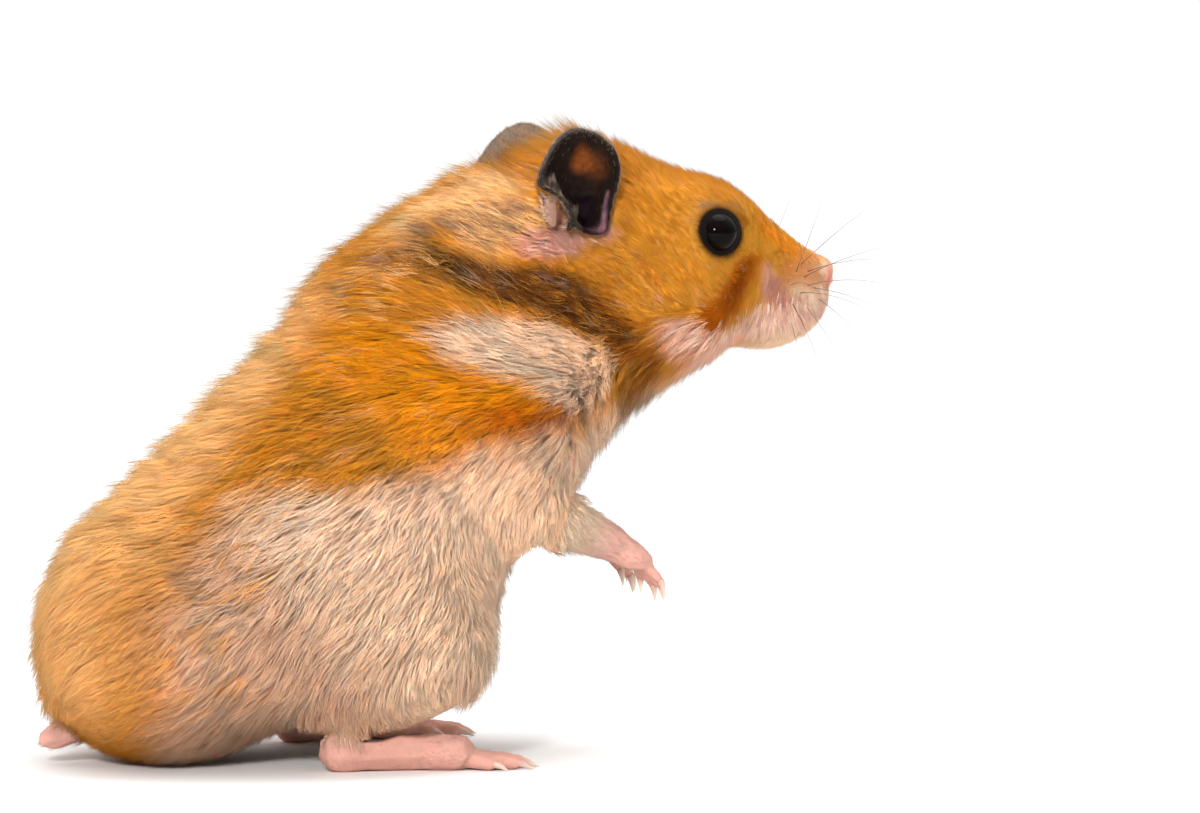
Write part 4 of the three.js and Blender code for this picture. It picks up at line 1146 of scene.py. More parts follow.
# Each part of the coat: its name, the nodes it grows on, whether it is a piece on each side, and the
# number of hairs in a piece.
SHORT_COATS = (
    ("muzzle", ("muzzle", "nose"), False, 16000),
    ("head", ("head", "eye_"), True, 25000),
    ("ears", ("ear_",), False, 15000),
    ("feet", FOOT_NODES, False, 8000),
)
LONG_COATS = (
    ("neck", ("neck",), False, 16500),
    ("chest", ("chest", "upper_foreleg"), True, 15500),
    ("trunk", ("trunk", "thigh"), True, 18500),
    ("rump", ("rump",), True, 14000),
)
PATCH = 0.003  # the size of a hair's patch on the unwrap
# Where a hair's points go on its patch: three at its root, three at its bend and its tip.
PATCH_PLACES = ((-1, -1), (0, -0.8), (1, -1), (-0.8, 0), (0, 0.2), (0.8, 0), (0, 1))
ROOT_SINK = 0.15
FLOOR_GAP = 0.08
BARE_LIMIT = 0.35  # no hair grows where the skin is barer
CROWDING = (0.5, 0.6)  # a length and a power: hairs stand closer where they are short
# How much hairs differ: in the length and height of whole locks, in those of single hairs, in how far
# they are drawn to their lock, and in width.
RUN_SPREAD, LOCK_RUNS, HAIR_RUNS = 0.16, (0.6, 1.4), (0.82, 1.08)
RISE_SPREAD, LOCK_RISES, HAIR_RISES = 0.15, (0.6, 1.6), (0.7, 1.05)
PULLS, WIDTHS = (0.7, 1), (0.7, 1.3)
MIDDLE_PULL = 0.45  # how much less the middles of hairs are drawn to their lock than the tips
LEAST_RUN = 0.45  # of a hair's length that it runs along the skin
STRAY_RISE, STRAY_WIDTH = 1.25, 0.7
SWIRL_SIZE, SWIRL_SEED = 4, 3
BESIDE_EAR_LENGTH = 0.6  # the least share of its length that a hair has beside an ear
EAR_HAIR_LEAST, EAR_HAIR_DEPTH = 0.7, 0.26  # shares of the ear hair's length: the shortest, and the depth
# The hairs of the head end short of the ears: how far along their run, and how high over their root.
STOPPED_MIDDLE, STOPPED_TIP = (0.15, 0.2), (0.35, 0.35)
SEEN_AT, SEEN_BACK, SEEN_JITTER = 0.35, 0.1, 0.14  # where on a hair its marking is read
BEND_WIDTH = 0.85  # of a hair at its bend, as a share of its root's
RIDGE = 0.7  # how flat a hair's outer side is


class Skin:
    """The finished skin, to grow hair from and to lay it on."""

    def __init__(self, thing, owners):
        mesh = thing.data
        self.points, self.triangles, self.owners = points_of(mesh), triangles_of(mesh), owners
        self.normals = normals_of(self.points, self.triangles)
        self.tree = BVHTree.FromPolygons(self.points.tolist(), self.triangles.tolist())
        corners = np.empty(len(mesh.loops) * 2, np.float32)
        mesh.uv_layers["OFBake"].data.foreach_get("uv", corners)
        self.unwrap = corners.reshape(-1, 3, 2)

    def between(self, values, faces, weights):
        return (values[self.triangles[faces]] * weights[..., None]).sum(axis=1)

    def beneath(self, places):
        """The nearest place on the skin, the normal there and whether it is on an ear."""
        found = [self.tree.find_nearest(place)[:3] for place in places.tolist()]
        under, normals = (np.array([row[column] for row in found]) for column in (0, 1))
        owners = self.owners[self.triangles[[row[2] for row in found], 0]]
        return under, normals, belongs(owners, "ear_")


def chosen_roots(skin, count, allowed, numbers):
    """Faces and weights of roots, closer together where the hair is short."""
    a, b, c = triangle_corners(skin.points, skin.triangles)
    area = np.linalg.norm(np.cross(b - a, c - a), axis=1) / 2
    middle = (a + b + c) / 3
    owners = skin.owners[skin.triangles[:, 0]]
    _, length, _ = coat_at(middle, owners)
    wanted = area * allowed(middle, owners) * (bare(middle) < BARE_LIMIT)
    wanted = wanted / (CROWDING[0] + length) ** CROWDING[1]
    wanted *= ear_cover(middle, skin.normals[skin.triangles[:, 0]], owners)
    heaped = np.cumsum(wanted)
    spots = (np.arange(count) + numbers.random(count)) / count * heaped[-1]
    faces = np.searchsorted(heaped, spots)
    first, second = numbers.random((2, count))
    weights = np.stack([1 - np.sqrt(first), np.sqrt(first) * (1 - second), np.sqrt(first) * second], axis=1)
    return faces, weights


def nearest_lock(roots, heads):
    """For each root, the hair that leads its lock."""
    tree = KDTree(len(heads))
    for index, place in enumerate(roots[heads].tolist()):
        tree.insert(place, index)
    tree.balance()
    return heads[[tree.find(place)[1] for place in roots.tolist()]]


def grown(roots, owners, settings):
    """The lie, length and depth of the coat at roots on the body and on the ears."""
    lie, length, depth = coat_at(roots, owners)
    on_ear = belongs(owners, "ear_")
    local, rimward = ear_places(roots, owners)
    lie[on_ear] = rimward[on_ear]
    length[on_ear] = settings.ear_hair * (EAR_HAIR_LEAST + ear_tufts(local[on_ear]))
    depth[on_ear] = length[on_ear] * EAR_HAIR_DEPTH
    beside = np.where(on_ear, 1, beside_ear(roots))
    return lie, length * raised(beside, BESIDE_EAR_LENGTH), depth * beside


def varied(numbers, lock, spread, lock_limits):
    """A factor for each hair that is the same through its lock."""
    return (1 + spread * numbers.normal(size=len(lock)))[lock].clip(*lock_limits)


def reaches(roots, normals, coat, lock, settings, numbers):
    """The way from each root to its tip over the skin, before the lock draws it in."""
    lie, length, depth = coat
    count = len(roots)
    turn = (cloud(roots, SWIRL_SIZE, SWIRL_SEED) - 0.5) * math.radians(settings.swirl) * 2
    turn += (numbers.normal(size=count) * math.radians(settings.lock_turn))[lock]
    turn += numbers.normal(size=count) * math.radians(settings.hair_turn)
    flat = unit(lie - normals * (lie * normals).sum(axis=1, keepdims=True))
    across = np.cross(normals, flat)
    run = np.sqrt(np.maximum(length**2 - depth**2, (LEAST_RUN * length) ** 2))
    run *= varied(numbers, lock, RUN_SPREAD, LOCK_RUNS)
    run *= numbers.uniform(*HAIR_RUNS, count)
    return (flat * np.cos(turn)[:, None] + across * np.sin(turn)[:, None]) * run[:, None]


def laid(skin, places, heights):
    """Places brought to heights over the skin, and whether they are over an ear."""
    under, normals, over_ear = skin.beneath(places)
    return under + normals * heights[:, None], over_ear


def hair_paths(skin, faces, weights, settings, numbers):
    """Roots, middles and tips of hairs that run together in locks and lie along the skin."""
    roots = skin.between(skin.points, faces, weights)
    normals = unit(skin.between(skin.normals, faces, weights))
    owners = skin.owners[skin.triangles[faces][np.arange(len(faces)), weights.argmax(axis=1)]]
    lie, length, depth = grown(roots, owners, settings)
    count = len(roots)
    heads = numbers.permutation(count)[: count // settings.lock_size]
    lock = nearest_lock(roots, heads)
    strays = numbers.random(count) < settings.strays
    reach = reaches(roots, normals, (lie, length, depth), lock, settings, numbers)

    tips = roots + reach
    pull = np.where(strays, 0, settings.clump * numbers.uniform(*PULLS, count))
    pull *= np.linalg.norm(roots - roots[lock], axis=1) < settings.lock_reach
    middles = (roots + tips) / 2
    middles = middles + (roots[lock] + reach[lock] * 0.5 - middles) * (pull * MIDDLE_PULL)[:, None]
    tips = tips + (tips[lock] - tips) * pull[:, None]

    rise = varied(numbers, lock, RISE_SPREAD, LOCK_RISES) * numbers.uniform(*HAIR_RISES, count)
    rise = np.where(strays, rise * STRAY_RISE, rise)
    rise = rise * (depth * settings.loft + crest_at(roots) * CREST_IN_COAT)
    tips, tips_on_ear = laid(skin, tips, rise)
    middles, middles_on_ear = laid(skin, middles, rise * settings.arch)
    stopped = ((tips_on_ear | middles_on_ear) & ~belongs(owners, "ear_"))[:, None]
    middles = np.where(stopped, roots + reach * STOPPED_MIDDLE[0] + normals * STOPPED_MIDDLE[1], middles)
    tips = np.where(stopped, roots + reach * STOPPED_TIP[0] + normals * STOPPED_TIP[1], tips)
    for places in (middles, tips):
        places[:, 2] = np.maximum(places[:, 2], FLOOR_GAP)

    width = (settings.fine_width + settings.width_growth * length) * numbers.uniform(*WIDTHS, count)
    width[strays] *= STRAY_WIDTH
    return dict(
        roots=roots - normals * ROOT_SINK, middles=middles, tips=tips, normals=normals, owners=owners,
        width=width, reach=reach, lots=numbers.random(count)[lock],
        seen=middles * SEEN_AT + tips * (1 - SEEN_AT) - reach * SEEN_BACK,
        patch=(skin.unwrap[faces] * weights[..., None]).sum(axis=1),
        shade=0.5 * numbers.random(count) + 0.5 * numbers.random(count)[lock],
    )


def ring(centres, along, outward, width):
    """Three points round each centre, one of them on the outer side."""
    ridge = unit(outward - along * (outward * along).sum(axis=1, keepdims=True))
    side = np.cross(along, ridge)
    spokes = []
    for angle in np.radians((90, 210, 330)):
        spokes.append(side * math.cos(angle) + ridge * math.sin(angle) * RIDGE)
    corners = [centres + spoke * width[:, None] / 2 for spoke in spokes]
    return np.stack(corners, axis=1), np.stack(spokes, axis=1)


def hair_mesh(name, paths, chosen, tint, long_hair, softness):
    """Hairs as closed three-sided points, each with one bend where they are long."""
    roots, middles, tips = (paths[key][chosen] for key in ("roots", "middles", "tips"))
    normals, width, shade, patch = (paths[key][chosen] for key in ("normals", "width", "shade", "patch"))
    count = len(roots)
    stations = [(roots, unit((middles if long_hair else tips) - roots), width, 0.0)]
    if long_hair:
        stations.append((middles, unit(tips - roots), width * BEND_WIDTH, 0.5))
    places, spokes, along = [], [], []
    for centres, direction, across, share in stations:
        corners, spoke = ring(centres, direction, normals, across)
        places.append(corners)
        spokes.append(spoke)
        along += [share] * 3
    places = np.concatenate([*places, tips[:, None]], axis=1)
    spokes = np.concatenate([*spokes, normals[:, None]], axis=1)
    along.append(1.0)
    size = places.shape[1]
    faces = [(0, 1, 2)]
    for start in range(0, size - 4, 3):
        for corner in range(3):
            after = (corner + 1) % 3
            low, high = start + corner, start + after
            faces += [(low, low + 3, high + 3), (low, high + 3, high)]
    last = size - 4
    faces += [(last + corner, size - 1, last + (corner + 1) % 3) for corner in range(3)]
    triangles = (np.array(faces)[None] + np.arange(count)[:, None, None] * size).reshape(-1, 3)
    thing = mesh_object(name, places.reshape(-1, 3), triangles)
    mesh = thing.data
    soft = unit(spokes * (1 - softness) + normals[:, None] * softness)
    mesh.normals_split_custom_set_from_vertices(soft.reshape(-1, 3))
    add_attribute(mesh, "tint", "FLOAT_COLOR", np.repeat(tint[chosen], size, axis=0))
    add_attribute(mesh, "along", "FLOAT", np.tile(along, count))
    add_attribute(mesh, "shade", "FLOAT", np.repeat(shade, size))
    patch_places = np.array(PATCH_PLACES[: size - 1] + PATCH_PLACES[-1:]) * PATCH / 2
    corners = (patch[:, None] + patch_places[None]).reshape(-1, 2)[triangles.ravel()]
    mesh.uv_layers.new(name="OFBake").data.foreach_set("uv", corners.astype(np.float32).ravel())
    return thing


# ---- eyes, claws and whiskers

CORNEA_RISE = 0.14
CORNEA_EDGE = (0.45, 1)  # where it rises: how far out from the eye's middle, as a share of its radius
EYE_SPOKES, EYE_RINGS = 96, 64
CLAW_LENGTH, CLAW_RADIUS, CLAW_CURL = 2.6, 0.52, 32
CLAW_POINT, CLAW_TAPER = 0.03, 1.4  # radius of its point, and the power that it thins by
CLAW_STEPS, CLAW_SIDES, CLAW_CLEARANCE = 9, 12, 0.2
CLAW_SET = 0.4  # how far it starts past the middle of a toe's tip, as a share of the tip's radius
# The feet's joints and digits in the joints' frame, left side.
HEEL, BALL, PALM = (-16.5, 17.2, 2.9), (-1, 18.6, 2.4), (27.4, 9.2, 28.4)
# Spread, reach and root of each toe, and spread and reach of each finger.
HIND_TOES = ((-30, 5, 0.2), (-13, 7.6, 1.2), (0, 8.2, 1.4), (13, 7.6, 1.2), (28, 5.4, 0.4))
TOE_HEIGHT, TOE_TIP, TOE_DIP = 0.95, 1.05, 0.1
FINGERS = ((-34, 3.4), (-11, 4.6), (11, 4.6), (34, 3.6))
FINGER_ROOT, FINGER_TIP, FINGER_DROOP = 1.4, 0.75, 0.5
# Whiskers: root as forward and up in the head's frame, the way out, length and droop.
WHISKERS = (
    ((16.6, -2.6), (0.1, 0.75, 1), 13, -0.1),
    ((17.8, -1.6), (0.62, 0.7, 0.85), 17, 0.1),
    ((18, -3.4), (0.8, 0.6, 0.55), 15, 0.16),
    ((19, -2.6), (0.9, 0.55, 0.4), 14, 0.22),
    ((18.6, -4.6), (0.9, 0.6, 0.32), 15, 0.3),
    ((17.2, -5.6), (0.75, 0.8, 0.1), 13, 0.35),
    ((19.8, -5), (0.9, 0.6, -0.1), 10, 0.2),
    ((16, -7.2), (0.2, 0.8, -0.8), 11, 0.3),
    ((18.4, -7.6), (0.5, 0.6, -0.8), 9, 0.2),
    ((15.4, -4.4), (-0.1, 1, 0.2), 14, 0.2),
    ((16.2, -9.6), (0.1, 0.5, -1), 6, 0.1),
    ((20.8, -6.6), (0.6, 0.6, -0.5), 7, 0.2),
)
WHISKER_RADIUS, WHISKER_TIP, WHISKER_TAPER = 0.058, 0.01, 1.2
WHISKER_STEPS, WHISKER_SIDES = 15, 6
WHISKER_SINK = 0.03  # the share of its length that is in the skin
BESIDE_MUZZLE = 9  # where the search for a root on the skin starts
OFF_ROUTE = (0.3, 0.2, 1)  # a direction that no claw or whisker runs in


def eye_ball(sign):
    """The ball of the eye, which rises a little where the cornea is."""
    place, axes = eye_frame(sign)
    points, triangles = ball(1, EYE_SPOKES, EYE_RINGS)
    lift = EYE_RADIUS + CORNEA_RISE * eased(points[:, 2], *CORNEA_EDGE)
    points = points * lift[:, None]
    return facing_out(points @ axes + place, triangles)


def tapered(route, radii, segments):
    """A closed tube along a route, with a radius at each of its points."""
    forward = unit(np.gradient(route, axis=0))
    side = unit(np.cross(forward, OFF_ROUTE))
    top = np.cross(forward, side)
    about = np.linspace(0, 2 * math.pi, segments, endpoint=False)
    spokes = side[:, None] * np.cos(about)[None, :, None] + top[:, None] * np.sin(about)[None, :, None]
    return facing_out(*closed_grid(route[:, None] + spokes * np.asarray(radii)[:, None, None]))


def along_tube(points, segments):
    """How far along the tube each of its points is, from 0 at its root to 1 at its tip."""
    rows = (len(points) - 2) // segments
    return np.concatenate([np.repeat(np.linspace(0, 1, rows), segments), (0, 1)])


def claw(root, direction):
    """A claw that curls down from its root."""
    shares = np.linspace(0, 1, CLAW_STEPS)
    curl = np.radians(CLAW_CURL) * shares
    level = unit(direction * (1, 1, 0))
    dip = math.asin(-direction[2]) + curl
    steps = level * np.cos(dip)[:, None] - np.array((0, 0, 1)) * np.sin(dip)[:, None]
    route = root + (np.cumsum(steps, axis=0) - steps[0]) * CLAW_LENGTH / (CLAW_STEPS - 1)
    route[:, 2] = np.maximum(route[:, 2], CLAW_CLEARANCE)
    return tapered(route, CLAW_RADIUS * (1 - shares**CLAW_TAPER) + CLAW_POINT, CLAW_SIDES)


def turned(vector, axis, degrees):
    return np.array(Matrix.Rotation(math.radians(degrees), 3, Vector(axis)) @ Vector(vector))


def claws_of(sign):
    """The claws of the hind foot and the forepaw of one side."""
    heel, ball_of_foot, wrist, palm = (on_side(place, sign) for place in (HEEL, BALL, WRIST, PALM))
    parts = []
    forward = unit((ball_of_foot - heel) * (1, 1, 0))
    for spread, reach, root in HIND_TOES:
        direction = turned(forward, (0, 0, 1), spread * sign)
        tip = (ball_of_foot + direction * (root + reach)) * (1, 1, 0) + (0, 0, TOE_HEIGHT)
        start = tip + direction * TOE_TIP * CLAW_SET + BODY_SHIFT
        parts.append(claw(start, unit(direction - (0, 0, TOE_DIP))))
    forward = unit(palm - wrist)
    across = unit(np.array((forward[1], -forward[0], 0)))
    through_palm = np.cross(forward, across)
    for spread, reach in FINGERS:
        direction = turned(forward, through_palm, spread)
        drooping = unit(direction - (0, 0, FINGER_DROOP))
        tip = palm + direction * FINGER_ROOT + drooping * reach
        start = tip + drooping * FINGER_TIP * CLAW_SET + BODY_SHIFT
        parts.append(claw(start, unit(drooping - (0, 0, FINGER_DROOP))))
    return parts


def whisker(skin, row, sign):
    """A whisker that starts in the skin and bends down under its own weight."""
    (forward, up), direction, length, droop = row
    root = from_head(on_side((forward, BESIDE_MUZZLE, up), sign))
    found = skin.tree.ray_cast(Vector(root), Vector(from_head((0, -sign, 0)) - HEAD_CENTRE))
    root = np.array(found[0])
    way = unit(on_side(direction, sign) @ HEAD_AXES)
    shares = np.linspace(0, 1, WHISKER_STEPS)[:, None]
    route = root + way * length * (shares - WHISKER_SINK)
    route[:, 2] -= droop * length * shares[:, 0] ** 2
    radii = WHISKER_TIP + (WHISKER_RADIUS - WHISKER_TIP) * (1 - shares[:, 0]) ** WHISKER_TAPER
    return tapered(route, radii, WHISKER_SIDES)


# ---- materials

def node_group(name, inputs, outputs):
    """A shader node group with the sockets given, and its input and output nodes."""
    group = bpy.data.node_groups.new(name, "ShaderNodeTree")
    for label, kind, default in inputs:
        socket = group.interface.new_socket(label, in_out="INPUT", socket_type=kind)
        socket.default_value = default
    for label, kind in outputs:
        group.interface.new_socket(label, in_out="OUTPUT", socket_type=kind)
    return group, group.nodes.new("NodeGroupInput"), group.nodes.new("NodeGroupOutput")


def wire(tree, start, end):
    tree.links.new(start, end)


def feed(tree, value, socket):
    """Set a socket to a number or a colour, or wire it to what gives its value."""
    if isinstance(value, (int, float)):
        socket.default_value = value
    elif isinstance(value, tuple):
        socket.default_value = (*value, 1)
    else:
        wire(tree, value, socket)


def set_inputs(tree, node, values):
    """Set or wire a node's inputs, given by their labels."""
    for label, value in values.items():
        feed(tree, value, node.inputs[label])


def math_node(tree, operation, *values):
    node = tree.nodes.new("ShaderNodeMath")
    node.operation = operation
    for socket, value in zip(node.inputs, values):
        feed(tree, value, socket)
    return node.outputs[0]


def scaled_colour(tree, colour, amount):
    node = tree.nodes.new("ShaderNodeVectorMath")
    node.operation = "SCALE"
    wire(tree, colour, node.inputs[0])
    wire(tree, amount, node.inputs["Scale"])
    return node.outputs[0]


def ranged(tree, value, low, high, first, last):
    """A value eased from first at low to last at high."""
    node = tree.nodes.new("ShaderNodeMapRange")
    node.interpolation_type = "SMOOTHSTEP"
    set_inputs(tree, node, {"Value": value, "From Min": low, "From Max": high, "To Min": first,
                            "To Max": last})
    return node.outputs["Result"]


def colour_mix(tree, kind, share, first, second):
    node = tree.nodes.new("ShaderNodeMix")
    node.data_type, node.blend_type = "RGBA", kind
    for socket, value in ((node.inputs[0], share), (node.inputs[6], first), (node.inputs[7], second)):
        feed(tree, value, socket)
    return node.outputs[2]


def hair_colour_group():
    """A hair's colour from its tint: dark at the root, paler at the tip, each hair a little different."""
    group, source, sink = node_group(
        "Hair colour",
        (("Tint", "NodeSocketColor", (0.5, 0.3, 0.1, 1)), ("Along", "NodeSocketFloat", 0),
         ("Shade", "NodeSocketFloat", 0.5), ("Root", "NodeSocketColor", (0.88, 0.83, 0.79, 1)),
         ("Root length", "NodeSocketFloat", 0.4), ("Spread", "NodeSocketFloat", 0.24),
         ("Tip", "NodeSocketFloat", 0.12)),
        (("Colour", "NodeSocketColor"), ("Roughness", "NodeSocketFloat")))
    root = ranged(group, source.outputs["Along"], 0.0, source.outputs["Root length"], 1, 0)
    deep = colour_mix(group, "MULTIPLY", root, source.outputs["Tint"], source.outputs["Root"])
    centred = math_node(group, "SUBTRACT", source.outputs["Shade"], 0.5)
    varied = math_node(group, "MULTIPLY_ADD", centred, source.outputs["Spread"], 1.0)
    tipped = math_node(group, "MULTIPLY_ADD", source.outputs["Along"], source.outputs["Tip"], varied)
    set_inputs(group, sink, {"Colour": scaled_colour(group, deep, tipped),
                             "Roughness": ranged(group, source.outputs["Along"], 0.0, 1.0, 0.62, 0.48)})
    return group


def relief_group():
    """Fine creases and pores as a height and a mottling, for skin, horn and the nose."""
    group, source, sink = node_group(
        "Fine relief",
        (("Size", "NodeSocketFloat", 0.4), ("Creases", "NodeSocketFloat", 0.5)),
        (("Height", "NodeSocketFloat"), ("Mottle", "NodeSocketFloat")))
    place = group.nodes.new("ShaderNodeTexCoord").outputs["Object"]
    scale = math_node(group, "DIVIDE", 1 / MM, source.outputs["Size"])
    noise = group.nodes.new("ShaderNodeTexNoise")
    noise.inputs["Detail"].default_value = 3
    cells = group.nodes.new("ShaderNodeTexVoronoi")
    cells.feature = "DISTANCE_TO_EDGE"
    broad = group.nodes.new("ShaderNodeTexNoise")
    for node, ratio in ((noise, 1.0), (cells, 0.8), (broad, 0.15)):
        set_inputs(group, node, {"Vector": place, "Scale": math_node(group, "MULTIPLY", scale, ratio)})
    creased = math_node(group, "MULTIPLY", cells.outputs["Distance"], source.outputs["Creases"])
    set_inputs(group, sink, {"Height": math_node(group, "ADD", noise.outputs[0], creased),
                             "Mottle": broad.outputs[0]})
    return group


def new_material(name):
    material = bpy.data.materials.new(name)
    material.use_nodes = True
    tree = material.node_tree
    return material, tree, tree.nodes["Principled BSDF"]


def placed_group(tree, name, maker, **values):
    """A group in a material with its own values; the maker builds it when it is first placed."""
    node = tree.nodes.new("ShaderNodeGroup")
    node.node_tree = bpy.data.node_groups.get(name) or maker()
    set_inputs(tree, node, values)
    return node


def attribute(tree, name, output="Fac"):
    """What a mesh attribute gives: a number, or a colour from the output of that name."""
    node = tree.nodes.new("ShaderNodeAttribute")
    node.attribute_name = name
    return node.outputs[output]


def bumped(tree, shader, height, distance, strength):
    """Give a shader the relief of a height, over a distance in mm."""
    node = tree.nodes.new("ShaderNodeBump")
    set_inputs(tree, node, {"Distance": distance * MM, "Strength": strength, "Height": height})
    wire(tree, node.outputs["Normal"], shader.inputs["Normal"])


def coat_material():
    material, tree, shader = new_material("coat")
    hair = placed_group(tree, "Hair colour", hair_colour_group, Tint=attribute(tree, "tint", "Color"),
                        Along=attribute(tree, "along"), Shade=attribute(tree, "shade"))
    shader.subsurface_method = "BURLEY"
    shader.inputs["Subsurface Radius"].default_value = (1.0, 0.6, 0.4)
    set_inputs(tree, shader, {"Base Color": hair.outputs["Colour"], "Roughness": hair.outputs["Roughness"],
                              "Specular IOR Level": 0.04, "Subsurface Weight": 0.75,
                              "Subsurface Scale": 1.2 * MM})
    return material


def skin_material():
    material, tree, shader = new_material("skin")
    smooth = attribute(tree, "bare")
    relief = placed_group(tree, "Fine relief", relief_group, Size=0.35, Creases=0.8)
    hair = placed_group(tree, "Hair colour", hair_colour_group, Tint=attribute(tree, "tint", "Color"),
                        Along=0.55, Shade=relief.outputs["Mottle"], Tip=0.0)
    set_inputs(tree, shader, {"Base Color": hair.outputs["Colour"],
                              "Roughness": ranged(tree, smooth, 0.0, 1.0, 0.72, 0.42),
                              "Specular IOR Level": ranged(tree, smooth, 0.0, 1.0, 0.03, 0.16)})
    bumped(tree, shader, relief.outputs["Height"], 0.05, 0.6)
    return material


def eye_material(dark, brown):
    """A dark glossy eye: the brown of the iris barely shows in it."""
    material, tree, shader = new_material("eye")
    relief = placed_group(tree, "Fine relief", relief_group, Size=0.6, Creases=0.0)
    iris = colour_mix(tree, "MIX", relief.outputs["Mottle"], dark, brown)
    set_inputs(tree, shader, {"Base Color": iris, "Roughness": 0.01, "IOR": 1.14})
    return material


def horn_material(name, root, tip, roughness):
    """Claws and whiskers: horn that runs from one colour at the root to another at the tip."""
    material, tree, shader = new_material(name)
    relief = placed_group(tree, "Fine relief", relief_group, Size=0.3, Creases=0.2)
    run = colour_mix(tree, "MIX", attribute(tree, "along"), root, tip)
    mottled = ranged(tree, relief.outputs["Mottle"], 0.2, 0.8, 0.85, 1.1)
    set_inputs(tree, shader, {"Base Color": scaled_colour(tree, run, mottled), "Roughness": roughness})
    bumped(tree, shader, relief.outputs["Height"], 0.01, 0.4)
    return material


def floor_material():
    material, tree, shader = new_material("studio floor")
    relief = placed_group(tree, "Fine relief", relief_group, Size=4.0, Creases=0.0)
    white = colour_mix(tree, "MIX", relief.outputs["Mottle"], (0.9, 0.9, 0.9), (0.93, 0.93, 0.93))
    set_inputs(tree, shader, {"Base Color": white, "Roughness": 0.9, "Specular IOR Level": 0.1})
    return material


def finish_piece(thing, material):
    """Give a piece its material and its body."""
    thing.data.materials.append(material)
    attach(thing, BODY)


# ---- settings

def number(name, description, default, **more):
    return bpy.props.FloatProperty(name=name, description=description, default=default, **more)


def colour_setting(name, description, default):
    return bpy.props.FloatVectorProperty(
        name=name, description=description, size=3, default=default, min=0, max=1, subtype="COLOR")


class HairSettings:
    """What short and long hair both have."""

    swirl: number("Swirl", "How far the lie wanders, in degrees", 14)
    strays: number("Strays", "Share of hairs that stay out of their lock", 0.14, min=0, max=1)
    softness: number("Softness", "How far hairs are shaded as the skin under them", 0.8, min=0, max=1)
    fine_width: number("Least width", "Width of the finest hair, in mm", 0.05, min=0.01)
    width_growth: number("Growth of width", "Width gained with each mm of length", 0.016, min=0)
    loft: number("Loft", "Height of the tips as a share of the coat's depth", 1.35, min=0)
    ear_hair: number("Ear hair", "Length of the hair on the ears, in mm", 1.6, min=0.1)


class HAMSTER_PG_short_hair(HairSettings, bpy.types.PropertyGroup):
    """The short hair of the head and feet."""

    lock_size: bpy.props.IntProperty(name="Lock size", description="Hairs in each lock", default=6, min=1)
    lock_turn: number("Turn of locks", "How far locks turn from the lie, in degrees", 7)
    hair_turn: number("Turn of hairs", "How far hairs turn from their lock, in degrees", 6)
    lock_reach: number("Reach of locks", "How far a lock draws in its hairs, in mm", 1.2, min=0)
    clump: number("Clumping", "How far tips draw together", 0.4, min=0, max=1)
    arch: number("Arch", "Height of the middle as a share of the tip's", 0.5, min=0)
    seed: bpy.props.IntProperty(name="Seed", description="Start of the random numbers", default=7)


class HAMSTER_PG_long_hair(HairSettings, bpy.types.PropertyGroup):
    """The long hair of the neck and body."""

    lock_size: bpy.props.IntProperty(name="Lock size", description="Hairs in each lock", default=8, min=1)
    lock_turn: number("Turn of locks", "How far locks turn from the lie, in degrees", 8)
    hair_turn: number("Turn of hairs", "How far hairs turn from their lock, in degrees", 11)
    lock_reach: number("Reach of locks", "How far a lock draws in its hairs, in mm", 1.9, min=0)
    clump: number("Clumping", "How far tips draw together", 0.24, min=0, max=1)
    arch: number("Arch", "Height of the middle as a share of the tip's", 0.62, min=0)
    seed: bpy.props.IntProperty(name="Seed", description="Start of the random numbers", default=19)


class HAMSTER_PG_finish(bpy.types.PropertyGroup):
    """The colours of the eyes, claws and whiskers."""

    eye_dark: colour_setting("Eyes", "Darkest colour of the eyes", (0.002, 0.0015, 0.0015))
    eye_brown: colour_setting("Irises", "Lightest colour of the eyes", (0.004, 0.002, 0.0015))
    claw_root: colour_setting("Claw roots", "Colour of the claws at the root", (0.62, 0.36, 0.28))
    claw_tip: colour_setting("Claw tips", "Colour of the claws at the tip", (0.75, 0.62, 0.5))
    whisker_root: colour_setting("Whisker roots", "Colour of the whiskers at the root", (0.05, 0.02, 0.007))
    whisker_tip: colour_setting("Whisker tips", "Colour of the whiskers at the tip", (0.3, 0.18, 0.1))


class HAMSTER_PG_stage(bpy.types.PropertyGroup):
    """The camera and the light."""

    azimuth: number("Azimuth", "Turn of the camera about the animal", math.radians(-14), subtype="ANGLE")
    elevation: number("Elevation", "Height of the camera", math.radians(4), subtype="ANGLE")
    distance: number("Distance", "From the camera to the animal, in m", 0.9, subtype="DISTANCE")
    width: number("Width", "What the picture takes in across, in mm", 171.4)
    aim: bpy.props.FloatVectorProperty(
        name="Aim", description="Middle of the picture from the origin, across and up, in mm",
        size=2, default=(22.62, 49.4))
    horizon: number("Horizon", "Strength of the daylight at the horizon", 0.45, min=0)
    zenith: number("Zenith", "Strength of the daylight overhead", 1.9, min=0)
    front: number("Front", "Share of the daylight that comes from behind the camera", 0.45, min=0, max=1)
    key: number("Key light", "Power of the light over the camera, in W", 6.2, min=0, subtype="POWER")
    top: number("Top light", "Power of the light from above, in W", 1.6, min=0, subtype="POWER")


class HAMSTER_PG_settings(bpy.types.PropertyGroup):
    """All the settings of the hamster."""

    short_hair: bpy.props.PointerProperty(type=HAMSTER_PG_short_hair)
    long_hair: bpy.props.PointerProperty(type=HAMSTER_PG_long_hair)
    finish: bpy.props.PointerProperty(type=HAMSTER_PG_finish)
    stage: bpy.props.PointerProperty(type=HAMSTER_PG_stage)


# ---- operators

UNWRAP_ANGLE, ISLAND_MARGIN = 66, 0.002  # in degrees, and as a share of the unwrap
EAR_BARENESS = 0.1


